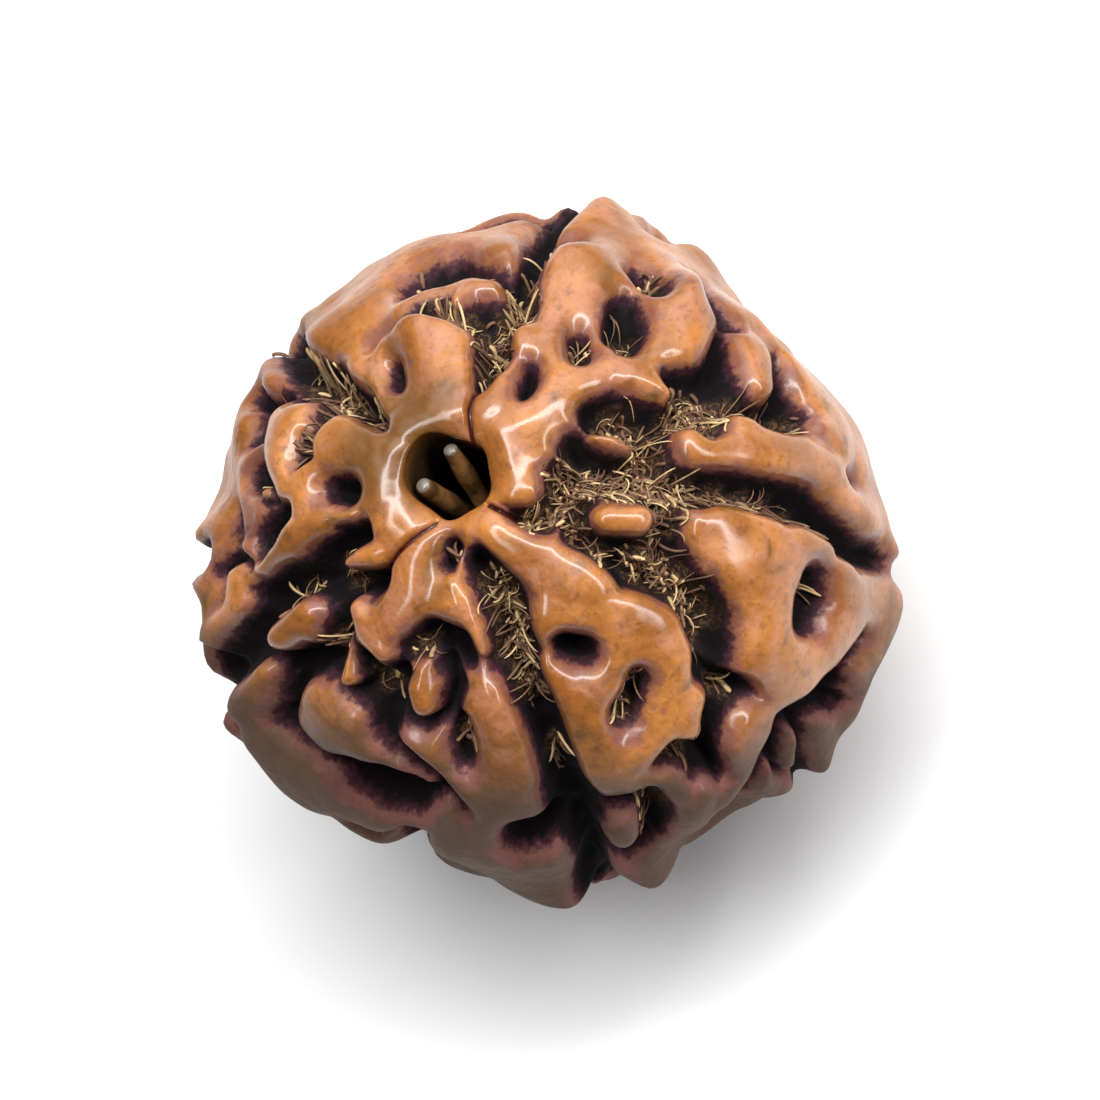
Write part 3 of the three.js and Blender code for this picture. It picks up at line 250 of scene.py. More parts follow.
# Pits with a rim all round
PITS = (
    ((-4.3, 8.35, 0.48), (-3.6, 8.75, 0.62), (-2.95, 9, 0.5), (-2.2, 8.95, 0.2), (-1.3, 8.7, 0.2)),
    ((-2.7, 7.75, 0.32), (-1.9, 7.8, 0.3)),
    ((-5, 5.95, 0.16), (-5, 5.45, 0.18)),
    ((-6.9, 1.95, 0.42), (-6.55, 1.9, 0.46)),
    ((-9.2, 2.3, 0.34), (-9, 1.8, 0.34)),
    ((-7.8, 5.15, 0.4), (-8.1, 4.95, 0.2)),
    ((-3.15, 0.1, 0.26), (-3.3, -0.45, 0.22)),
    ((-4.6, -3.3, 0.3), (-3.8, -2.8, 0.54), (-3.1, -3.1, 0.52), (-2.7, -3.6, 0.3)),
    ((-6.85, -1.45, 0.45), (-6.85, -2.5, 0.52), (-7, -3.35, 0.65), (-6.2, -4, 0.8),
     (-5.5, -4.6, 0.72), (-5.2, -5.5, 0.42)),
    ((-9.8, -3.6, 0.35), (-9.4, -3, 0.36), (-8.2, -3.5, 0.42), (-7.3, -3.7, 0.5)),
    ((-5.5, -5.2, 0.4), (-5.35, -5.9, 0.32), (-5.1, -6.4, 0.16)),
    ((-8.2, -3.9, 0.32), (-8.5, -4.6, 0.32), (-8.55, -5.3, 0.24)),
    ((-4.85, -4, 0.42), (-4.8, -5.2, 0.28), (-4, -5.6, 0.2), (-3.3, -5.2, 0.3), (-3.05, -4.4, 0.32),
     (-3.4, -3.6, 0.3)),
    ((-6.2, -7.35, 0.5), (-5.3, -7.7, 0.75), (-4.4, -7.85, 0.65), (-3.8, -7.8, 0.3)),
    ((-0.95, -9.15, 0.55), (-0.3, -9.1, 0.55)),
    ((-2.95, -5.5, 0.26), (-2.85, -6.1, 0.34), (-2.75, -6.7, 0.3)),
    ((0.5, -3.1, 0.4), (1.05, -3.25, 0.45)),
    ((2.85, -4.15, 0.3), (2.65, -4.8, 0.36), (2.4, -5.25, 0.42)),
    ((8.45, -0.95, 0.42), (8.4, -1.6, 0.54), (8.2, -2.35, 0.38)),
    ((3.2, -7.95, 0.38), (3.45, -8.4, 0.52), (3.35, -8.95, 0.42)),
    ((1.5, -8.3, 0.2), (2.2, -8.15, 0.16), (2.9, -8, 0.2)),
    ((1.5, -8.8, 0.25), (1.7, -9.5, 0.2), (2.5, -9.75, 0.2), (3.1, -9.3, 0.3)),
    ((2.15, 7.1, 0.42), (2.35, 7.75, 0.5), (2.6, 7.1, 0.5), (2.55, 6.8, 0.42)),
    ((2.75, 8.95, 0.2), (3.1, 8.65, 0.3), (3.5, 8.4, 0.32)),
    ((5.55, 6.6, 0.25), (5.35, 5.9, 0.38), (5.1, 5.3, 0.4)),
    ((1.3, 2.95, 0.34), (2.1, 2.75, 0.4), (2.8, 2.7, 0.36)),
    ((0.92, 6.85, 0.3), (1, 6.4, 0.32)),
    ((4.75, 8.6, 0.1), (5.1, 7.95, 0.22), (5.5, 7.4, 0.18), (6, 7.05, 0.06)),
    ((-0.6, 5.8, 0.2), (-0.7, 5.3, 0.24), (-0.85, 5, 0.16)),
)

# Places where dried pulp is caught: x, y, spread and how many fibres
PULP_PLACES = (
    (0.2, 2.7, 0.45, 40), (0.4, 2.3, 0.45, 40), (0.5, 1.6, 0.4, 40), (-0.8, 0.9, 0.4, 50),
    (-0.1, 1.1, 0.4, 50), (0.8, 0.6, 0.35, 36), (1.6, -0.2, 0.3, 20), (3.3, -0.5, 0.5, 50),
    (3.8, -0.6, 0.4, 46), (4.2, -1, 0.4, 36), (3.6, 0.8, 0.4, 36), (4, 1.1, 0.4, 36),
    (1.5, 2.2, 0.5, 40), (2.4, 2.1, 0.5, 40), (3.5, 2.2, 0.5, 40), (4.2, 1.9, 0.5, 40),
    (3.3, 3.3, 0.5, 50), (3, 3.8, 0.5, 50), (2.3, 4.2, 0.5, 40), (4.5, 4.6, 0.5, 60),
    (5, 4.9, 0.5, 50), (5.2, 4.4, 0.5, 50), (5.1, 3.9, 0.4, 34), (5.8, 4.6, 0.5, 34),
    (7.4, 4.4, 0.4, 40), (8.1, 4.2, 0.3, 24), (-4, 8.2, 0.5, 50), (-3, 8.8, 0.4, 40),
    (-3.2, 7.8, 0.4, 40), (-2.6, 7.2, 0.5, 40), (-1.9, 6.7, 0.4, 40), (-2.1, 6, 0.3, 30),
    (-1.2, 7.9, 0.4, 50), (-0.9, 8.4, 0.4, 40), (-0.2, 9.2, 0.4, 30), (-0.8, 7.1, 0.3, 20),
    (-1.9, -1.2, 0.4, 40), (-1.6, -2, 0.4, 50), (-1.3, -2.6, 0.4, 40), (-1.3, -3.4, 0.4, 40),
    (-0.9, -4.1, 0.3, 30), (-0.5, -5, 0.3, 24), (4.8, -1.9, 0.5, 30), (5.1, -2.4, 0.5, 16),
    (4.9, -3.4, 0.4, 14), (4.2, -6.5, 0.5, 20), (-7.8, 5.8, 0.5, 60), (-7.3, 5.2, 0.4, 60),
    (-7.3, 4.4, 0.4, 40), (-6, 4.5, 0.3, 36), (-7.7, 3.5, 0.3, 30), (-7.9, 3, 0.3, 20),
    (-7.1, -0.8, 0.4, 24), (-8.6, -1.7, 0.4, 40), (-7.2, -3.3, 0.4, 24), (-2.8, -6.2, 0.3, 14),
    (-9.2, 2.05, 0.3, 10), (2.8, -4.1, 0.3, 14), (2.4, -5.4, 0.3, 20), (2.4, 7.1, 0.3, 20),
    (3.3, 8.6, 0.3, 24), (0.9, 6.6, 0.25, 18), (-4.2, -3.3, 0.3, 14), (-5.6, -4.4, 0.4, 14),
    (8.3, -1.3, 0.3, 16), (3.3, -8.4, 0.4, 16), (-3.1, -0.2, 0.2, 8), (5.8, -4.7, 0.3, 8),
)

# Places where long fibres lie side by side: x, y, spread, how many, and their angle in degrees
COMBED_PLACES = (
    (1.2, 2.3, 0.4, 30, -8), (2.2, 2.2, 0.4, 40, -4), (3.4, 2.2, 0.4, 40, -8),
    (4.6, 1.95, 0.4, 40, -14), (5.8, 1.8, 0.35, 30, -12), (6.8, 1.5, 0.35, 24, -18),
    (7.8, 1.3, 0.35, 24, -24), (8.6, 0.9, 0.3, 14, -35), (-1.7, -1.6, 0.3, 24, -70),
    (-1.2, -3, 0.3, 24, -78), (-0.8, -4.6, 0.25, 14, -65), (0.2, -7, 0.25, 12, -70),
    (-7.1, 4.9, 0.4, 30, 125), (-1.1, 8.2, 0.3, 20, 62), (-6.6, -0.5, 0.3, 20, 40),
)


class SeededRandom:
    """Mulberry32, a small generator of numbers from 0 to 1 that gives the same row each run.

    It counts up by a fixed stride, mixes the count's 32 bits, and divides by their range.
    """

    stride = 0x6D2B79F5
    mask = 0xFFFFFFFF

    def __init__(self, seed: int) -> None:
        """Starts the row.

        Args:
            seed: Any whole number.
        """
        self.state = seed & self.mask

    def __call__(self) -> float:
        """Gives the next number, from 0 up to 1."""
        self.state = (self.state + self.stride) & self.mask
        mixed = self.state
        mixed = ((mixed ^ (mixed >> 15)) * (mixed | 1)) & self.mask
        mixed ^= (mixed + (((mixed ^ (mixed >> 7)) * (mixed | 61)) & self.mask)) & self.mask
        return (mixed ^ (mixed >> 14)) / (self.mask + 1)

    def centred(self, count: int) -> Array:
        """Gives the next numbers, each from -0.5 up to 0.5."""
        return np.array([self() - 0.5 for _ in range(count)])


def unit(vectors: Array) -> Array:
    """Scales vectors to length one, row by row."""
    return vectors / np.linalg.norm(vectors, axis=-1, keepdims=True)


def lerp(low: float | Array, high: float | Array, share: float | Array) -> float | Array:
    """Goes from low at share 0 to high at share 1, in a straight line."""
    return low + (high - low) * share


def direction(colatitude: float | Array, azimuth: float | Array) -> Array:
    """Gives unit vectors from an angle down from +Z and an angle round it.

    Args:
        colatitude: Angle from +Z, in radians.
        azimuth: Angle round +Z from +X, in radians.

    Returns:
        Vectors along the last axis.
    """
    parts = (np.sin(colatitude) * np.cos(azimuth), np.sin(colatitude) * np.sin(azimuth),
             np.cos(colatitude) * np.ones_like(azimuth))
    return np.stack(parts, axis=-1)


@dataclass(frozen=True)
class PlainBody:
    """The stone without its relief: an ellipsoid of revolution round the canal."""

    equator_radius: float = 10.6
    half_height: float = 9.3
    centre: Triple = (0.3, 0.03, 8.88)

    def to_unit(self, points: Array) -> Array:
        """Squeezes points so that the body becomes a sphere of radius one."""
        return points / np.array([self.equator_radius, self.equator_radius, self.half_height])

    def at(self, directions: Array) -> Array:
        """Gives the body's points in these directions from its centre."""
        return directions / np.linalg.norm(self.to_unit(directions), axis=-1, keepdims=True)


@dataclass(frozen=True)
class Viewpoint:
    """The side the portrait is taken from, with the directions across and up its picture."""

    elevation: float = math.radians(65.75)
    roll: float = math.radians(-54.0)
    distance: float = 200.0
    depth_share: float = 0.45

    @property
    def axis(self) -> Array:
        """The unit vector from the stone's centre to the eye."""
        return np.array([0.0, -math.cos(self.elevation), math.sin(self.elevation)])

    @property
    def level_up(self) -> Array:
        """The unit vector up the picture of an eye that isn't rolled."""
        return np.array([0.0, math.sin(self.elevation), math.cos(self.elevation)])

    @property
    def right(self) -> Array:
        """The unit vector to the picture's right."""
        return math.cos(self.roll) * np.array([1.0, 0, 0]) + math.sin(self.roll) * self.level_up

    @property
    def up(self) -> Array:
        """The unit vector up the picture."""
        return -math.sin(self.roll) * np.array([1.0, 0, 0]) + math.cos(self.roll) * self.level_up

    @property
    def press(self) -> Array:
        """The matrix that presses points together along the sight axis, down to depth_share."""
        return np.eye(3) - (1 - self.depth_share) * np.outer(self.axis, self.axis)

    def seen_at(self, body: PlainBody, places: Array) -> Array:
        """Finds where sight lines through places of the portrait side first meet the plain body.

        A line from the eye is put into the body's equation, and the nearer root is taken. A line
        that misses gives the limb point beside it.

        Args:
            body: The plain body.
            places: Rows of x to the right and y up, in millimetres.

        Returns:
            Points from the body's centre, one row each.
        """
        eye = self.axis * self.distance
        target = places[..., :1] * self.right + places[..., 1:2] * self.up
        sight = unit(target - eye)
        start, along = body.to_unit(eye), body.to_unit(sight)
        a = (along ** 2).sum(-1)
        b = (along * start).sum(-1)
        c = (start ** 2).sum() - 1
        root = np.sqrt(np.maximum(b * b - a * c, 0))
        return body.at(eye + sight * ((-b - root) / a)[..., None])


@dataclass(frozen=True)
class Stroke:
    """A line of points on the plain body, with the half width of a groove or ridge at each."""

    points: Array
    widths: Array


class StrokeSet:
    """Many strokes laid out as segments, to measure distances to all of them at once.

    Distances are measured after a matrix has pressed the points. Strokes read from the picture
    are pressed along the sight axis, so that on the flanks they stay as wide as they look there.
    """

    chunk = 4000
    least_spread = 0.2
    bell_falloff = 0.8
    least_length2 = 1e-9

    def __init__(self, strokes: Sequence[Stroke], press: Array) -> None:
        """Lays the strokes out. A stroke of one point is a segment of no length.

        Args:
            strokes: The strokes.
            press: The matrix.
        """
        pairs = [(s.points[[0, 0]], s.widths[[0, 0]]) if len(s.points) == 1
                 else (s.points, s.widths) for s in strokes]
        self.press = press
        self.start = np.concatenate([p[:-1] for p, _ in pairs]) @ press
        self.line = np.concatenate([p[1:] - p[:-1] for p, _ in pairs]) @ press
        self.width = np.concatenate([w[:-1] for _, w in pairs])
        self.widen = np.concatenate([w[1:] - w[:-1] for _, w in pairs])
        self.length2 = np.maximum((self.line ** 2).sum(-1), self.least_length2)

    def nearest(self, points: Array) -> tuple[Array, Array]:
        """Measures from points to the strokes.

        The distance to a segment is taken from the foot of the perpendicular, held between its
        ends. A stroke's crown is a bell as high and as wide as its half width there.

        Args:
            points: Rows of x, y, z from the body's centre.

        Returns:
            The distance to the nearest stroke's edge, negative inside it, and the highest crown.
        """
        edges, crowns = [], []
        for part in np.array_split(points @ self.press, len(points) // self.chunk + 1):
            along = part @ self.line.T - (self.start * self.line).sum(-1)
            share = np.clip(along / self.length2, 0, 1)
            gap2 = ((part ** 2).sum(-1)[:, None] - 2 * part @ self.start.T
                    + (self.start ** 2).sum(-1) - 2 * share * along + share ** 2 * self.length2)
            distance = np.sqrt(np.maximum(gap2, 0))
            width = self.width + share * self.widen
            spread = np.maximum(width, self.least_spread)
            edges.append((distance - width).min(axis=1))
            bell = np.exp(-self.bell_falloff * (distance / spread) ** 2)
            crowns.append((spread * bell).max(axis=1))
        return np.concatenate(edges), np.concatenate(crowns)


def nearest_in(sets: Sequence[StrokeSet], points: Array) -> tuple[Array, Array]:
    """Takes the nearest edge and the highest crown over several sets of strokes."""
    found = [strokes.nearest(points) for strokes in sets]
    return (np.minimum.reduce([edge for edge, _ in found]),
            np.maximum.reduce([crown for _, crown in found]))


@dataclass(frozen=True)
class Wander:
    """How wandering strokes are made: how many, with how many points, and how far they turn."""

    count: int
    steps: int
    step_length: float
    turn: float
    widths: Pair


@dataclass(frozen=True)
class WaveKind:
    """How many waves there are, and the shortest and longest, in millimetres."""

    count: int
    lengths: Pair


@dataclass(frozen=True)
class Waves:
    """Low uneven waves: a sum of plane waves with seeded directions, lengths and phases."""

    directions: Array
    lengths: Array
    phases: Array

    @classmethod
    def seeded(cls, random: SeededRandom, kind: WaveKind) -> "Waves":
        """Draws the waves.

        Args:
            random: The generator.
            kind: How many waves, and how long.

        Returns:
            The waves.
        """
        drawn = np.array([[random() for _ in range(5)] for _ in range(kind.count)])
        return cls(unit(drawn[:, :3] - 0.5), lerp(*kind.lengths, drawn[:, 3]),
                   drawn[:, 4] * 2 * np.pi)

    def at(self, points: Array) -> Array:
        """Gives the waves' height at points, mostly between -1 and 1."""
        turns = 2 * np.pi * (points @ self.directions.T) / self.lengths + self.phases
        return np.sin(turns).sum(-1) / math.sqrt(len(self.lengths))


@dataclass(frozen=True)
class Relief:
    """What the relief is at each of many points."""

    height: Array
    slope: Array
    crease: Array


@dataclass
class GroovePattern:
    """The relief of the stone: strokes, swells and waves, and the height they give together."""

    body: PlainBody
    view: Viewpoint
    rim_reach: float = 0.45
    rim_drop: float = 0.28
    shoulder_reach: float = 1.0
    shoulder_drop: float = 0.2
    wall_slope: float = 3.2
    groove_depth: float = 1.65
    ridge_pull: float = 0.25
    knob_slope: float = 2.1
    mouth_drop: float = 0.5
    crown_rise: float = 0.26
    crease_reach: float = 0.075
    crease_depth: float = 0.4
    wave_kind: WaveKind = WaveKind(12, (2.6, 6.5))
    wave_height: float = 0.11
    ripple_kind: WaveKind = WaveKind(16, (0.8, 1.7))
    ripple_height: float = 0.01
    rubble_kind: WaveKind = WaveKind(24, (0.35, 0.9))
    rubble_height: float = 0.07
    rubble_depth: float = 0.3
    pulp_spread: float = 1.6
    canal_radius: float = 1.25
    mouth_reach: float = 0.9
    seed: int = 5
    hidden_grooves: Wander = Wander(150, 4, 0.85, 1.6, (0.22, 0.5))
    hidden_ridges: Wander = Wander(130, 3, 0.8, 1.2, (0.35, 0.75))
    hidden_facing: float = 0.1
    hidden_jitter: float = 0.12
    cleft_steps: int = 11
    cleft_sway: float = 0.07
    cleft_bends: float = 9.0
    cleft_end_width: float = 0.3
    lip_colatitude: float = math.radians(167)
    placing_rounds: int = 6

    def __post_init__(self) -> None:
        """Makes all strokes, in the same order of random draws as the construction model."""
        swells = np.array(SWELLS)
        self.swell_points = self.view.seen_at(self.body, swells[:, :2])
        self.swell_reach, self.swell_height = swells[:, 2], swells[:, 3]
        random = SeededRandom(self.seed)
        self.waves = Waves.seeded(random, self.wave_kind)
        clefts = [self.with_cleft_below(stroke, index, random)
                  for index, stroke in enumerate(self.seen_strokes(CLEFTS))]
        plain = np.eye(3)
        self.grooves = (
            StrokeSet(clefts + self.seen_strokes(GROOVES), self.view.press),
            StrokeSet(self.hidden_strokes(self.hidden_grooves, random), plain))
        self.ridges = (
            StrokeSet(self.seen_strokes(RIDGES), self.view.press),
            StrokeSet(self.hidden_strokes(self.hidden_ridges, random), plain))
        self.knobs = StrokeSet(self.seen_strokes(KNOBS), self.view.press)
        self.pits = StrokeSet(self.seen_strokes(PITS), self.view.press)
        self.creases = StrokeSet(self.seen_strokes(CREASES), self.view.press)
        fine = SeededRandom(self.seed + 1)
        self.ripples = Waves.seeded(fine, self.ripple_kind)
        self.rubble = Waves.seeded(fine, self.rubble_kind)

    def swelling(self, points: Array) -> Array:
        """Gives how far the swells, each a bell, move points of the plain body outwards."""
        gap2 = ((points[:, None] - self.swell_points) ** 2).sum(-1)
        return (self.swell_height * np.exp(-gap2 / self.swell_reach ** 2)).sum(-1)

    def seen_at(self, places: Array) -> Array:
        """Finds the plain body's points that the swells bring to picture places.

        A swell moves a point in the picture too, so the place looked at is moved back by as
        much, and the search is done again.

        Args:
            places: Rows of x to the right and y up, in millimetres.

        Returns:
            Points from the body's centre, one row each.
        """
        points = self.view.seen_at(self.body, places)
        for _ in range(self.placing_rounds):
            lift = unit(points) * self.swelling(points)[:, None]
            moved = np.stack([lift @ self.view.right, lift @ self.view.up], axis=-1)
            points = self.view.seen_at(self.body, places - moved)
        return points

    def seen_strokes(self, table: Sequence[Sequence[Place]]) -> list[Stroke]:
        """Lays each of a table's lists of picture places on the plain body as a stroke."""
        strokes = []
        for places in table:
            rows = np.array(places)
            widths = rows[:, 2] if rows.shape[1] > 2 else np.zeros(len(rows))
            strokes.append(Stroke(self.seen_at(rows[:, :2]), widths))
        return strokes

    def with_cleft_below(self, stroke: Stroke, index: int, random: SeededRandom) -> Stroke:
        """Carries a cleft on from its last seen point, down a meridian to the lower lip.

        The azimuth sways by a sine that dies out on the way, and the cleft gets narrower.

        Args:
            stroke: The seen part of the cleft.
            index: Which cleft it is.
            random: The generator.

        Returns:
            The whole cleft.
        """
        last = unit(stroke.points[-1])
        wobble = random() * 2 * math.pi
        share = np.arange(1, self.cleft_steps + 1) / self.cleft_steps
        colatitude = lerp(math.acos(last[2]), self.lip_colatitude, share)
        sway = self.cleft_sway * np.sin(share * self.cleft_bends + wobble + index) * (1 - share)
        below = self.body.at(direction(colatitude, math.atan2(last[1], last[0]) + sway))
        widths = lerp(stroke.widths[-1], self.cleft_end_width, share)
        return Stroke(np.vstack([stroke.points, below]), np.concatenate([stroke.widths, widths]))

    def spread_directions(self, count: int, random: SeededRandom) -> list[Array]:
        """Gives even directions over the whole stone: a golden-angle spiral with jitter."""
        golden = math.pi * (3 - math.sqrt(5))
        starts = []
        for index in range(count):
            height = 1 - 2 * (index + 0.5) / count
            jitter = random.centred(3) * self.hidden_jitter
            starts.append(unit(direction(math.acos(height), index * golden) + jitter))
        return starts

    def wandering_stroke(self, start: Array, kind: Wander, random: SeededRandom) -> Stroke:
        """Walks over the body from a start, and turns a little at each step.

        Args:
            start: The direction of the first point.
            kind: How many points, how far apart, how wide, and how far it may turn.
            random: The generator.

        Returns:
            The stroke.
        """
        heading = random.centred(3)
        point = self.body.at(start)
        points, half_widths = [], []
        for _ in range(kind.steps):
            points.append(point)
            half_widths.append(lerp(*kind.widths, random()))
            outward = unit(point)
            heading = unit(heading - outward * (heading @ outward))
            angle = (random() - 0.5) * kind.turn
            heading = heading * math.cos(angle) + np.cross(outward, heading) * math.sin(angle)
            point = self.body.at(point + heading * kind.step_length)
        return Stroke(np.array(points), np.array(half_widths))

    def hidden_strokes(self, kind: Wander, random: SeededRandom) -> list[Stroke]:
        """Makes wandering strokes, and keeps those of which no point faces the eye."""
        strokes = [self.wandering_stroke(start, kind, random)
                   for start in self.spread_directions(kind.count, random)]
        return [s for s in strokes if (unit(s.points) @ self.view.axis).max() < self.hidden_facing]

    def groove_profile(self, slope: Array) -> Array:
        """Turns a signed distance from a groove's edge into a height under the ridge tops.

        Outside the edge a broad shoulder and a narrow rim fall as parabolas. Inside it a wall
        falls steeply and levels out, as a hyperbolic tangent does, at groove_depth.
        """
        shoulder = np.clip(1 - slope / self.shoulder_reach, 0, 1)
        rim = np.clip(1 - slope / self.rim_reach, 0, 1)
        floor = self.groove_depth - self.rim_drop - self.shoulder_drop
        wall = np.maximum(-slope, 0) * self.wall_slope
        return (-self.shoulder_drop * shoulder ** 2 - self.rim_drop * rim ** 2
                - floor * np.tanh(wall / floor))

    def measure(self, points: Array) -> Relief:
        """Works out the relief at points of the plain body.

        The height is the sum of the swells, each a bell, the waves, the ridges' crowns, the
        groove profile of the distance left between grooves and ridges, a narrow bell for each
        crease, a rounded lip at the canal's mouth, and fine ripples and rubble. A pit cuts
        through ridges at its own edge, and a knob rises from grooves and pits at its own.

        Args:
            points: Rows of x, y, z from the body's centre.

        Returns:
            The relief, one value for each point.
        """
        height = self.swelling(points) + self.wave_height * self.waves.at(points)
        ridge_edge, ridge_crown = nearest_in(self.ridges, points)
        groove_edge, _ = nearest_in(self.grooves, points)
        knob_edge, knob_crown = self.knobs.nearest(points)
        slope = np.minimum(groove_edge - np.minimum(ridge_edge, self.ridge_pull),
                           self.pits.nearest(points)[0])
        slope = np.maximum(slope, -self.knob_slope * knob_edge)
        ridge_crown = np.maximum(ridge_crown, knob_crown)
        height += self.crown_rise * ridge_crown + self.groove_profile(slope)
        crease = np.exp(-(self.creases.nearest(points)[0] / self.crease_reach) ** 2)
        height -= self.crease_depth * crease
        mouth = np.hypot(points[:, 0], points[:, 1]) - self.canal_radius
        lip = np.clip(1 - mouth / self.mouth_reach, 0, 1)
        height -= self.mouth_drop * lip * lip
        floor = np.clip(-slope / self.rubble_depth, 0, 1)
        height += self.ripple_height * self.ripples.at(points) * (1 - floor)
        height += self.rubble_height * self.rubble.at(points) * floor ** 3
        return Relief(height, slope, crease)

    def caught_pulp(self, points: Array) -> Array:
        """Tells how near points lie to the places where pulp is caught: 1 in the middle of one.

        Args:
            points: Rows of x, y, z from the body's centre.

        Returns:
            A share from 0 to 1 for each point.
        """
        rows = np.vstack([np.array(PULP_PLACES)[:, :3], np.array(COMBED_PLACES)[:, :3]])
        places = self.seen_at(rows[:, :2])
        gap2 = ((points[:, None] - places) ** 2).sum(-1)
        return np.exp(-gap2 / (self.pulp_spread * rows[:, 2]) ** 2).max(axis=1)

    def surface(self, points: Array) -> tuple[Array, Relief]:
        """Moves points of the plain body out to the real surface, in the part's frame.

        Args:
            points: Rows of x, y, z from the body's centre.

        Returns:
            The moved points, in millimetres from the part's origin, and their relief.
        """
        relief = self.measure(points)
        moved = points + unit(points) * relief.height[:, None] + np.array(self.body.centre)
        return moved, relief


def write_mesh(name: str, vertices: Array, faces: Array, attributes: dict[str, Array],
               material: bpy.types.Material) -> bpy.types.Object:
    """Puts arrays into a new smooth-shaded mesh object at the origin.

    Args:
        name: The piece's name.
        vertices: Rows of x, y, z, in millimetres.
        faces: Rows of three or four vertex numbers, counter-clockwise seen from outside.
        attributes: A number for each vertex, under the name that the material reads.
        material: The finish.

    Returns:
        The object.
    """
    mesh = bpy.data.meshes.new(name)
    sides = faces.shape[1]
    mesh.vertices.add(len(vertices))
    mesh.vertices.foreach_set("co", (vertices * MM).ravel())
    mesh.loops.add(faces.size)
    mesh.loops.foreach_set("vertex_index", faces.ravel().astype(np.int32))
    mesh.polygons.add(len(faces))
    mesh.polygons.foreach_set("loop_start", np.arange(0, faces.size, sides, dtype=np.int32))
    mesh.update(calc_edges=True)
    mesh.shade_smooth()
    for key, values in attributes.items():
        layer = mesh.attributes.new(key, "FLOAT", "POINT")
        layer.data.foreach_set("value", values.astype(np.float32))
    mesh.materials.append(material)
    piece = bpy.data.objects.new(name, mesh)
    bpy.context.scene.collection.objects.link(piece)
    return piece


def closed_grid_faces(rows: int, columns: int) -> Array:
    """Gives the four-sided faces of a grid that closes on itself both ways.

    Args:
        rows: Points along the first direction.
        columns: Points along the second.

    Returns:
        Rows of four vertex numbers.
    """
    row, column = np.meshgrid(np.arange(rows), np.arange(columns), indexing="ij")
    below, beside = (row + 1) % rows, (column + 1) % columns
    corners = (row * columns + column, below * columns + column,
               below * columns + beside, row * columns + beside)
    return np.stack(corners, axis=-1).reshape(-1, 4)


def srgb(red: int, green: int, blue: int) -> Triple:
    """Turns screen values from 0 to 255 into the linear colour that shaders take."""
    parts = np.array([red, green, blue]) / 255
    linear = np.where(parts <= 0.04045, parts / 12.92, ((parts + 0.055) / 1.055) ** 2.4)
    return tuple(float(part) for part in linear)


@dataclass(frozen=True)
class Clouds:
    """Cloudy noise: its largest clouds in millimetres, its finer layers, and how they're pulled."""

    size: float
    detail: float = 3.0
    roughness: float = 0.55
    distortion: float = 0.0


@dataclass(frozen=True)
class Stain:
    """A colour laid over others: nothing of it at the first edge, and the most at the second."""

    colour: Triple
    edges: Pair
    most: float = 1.0


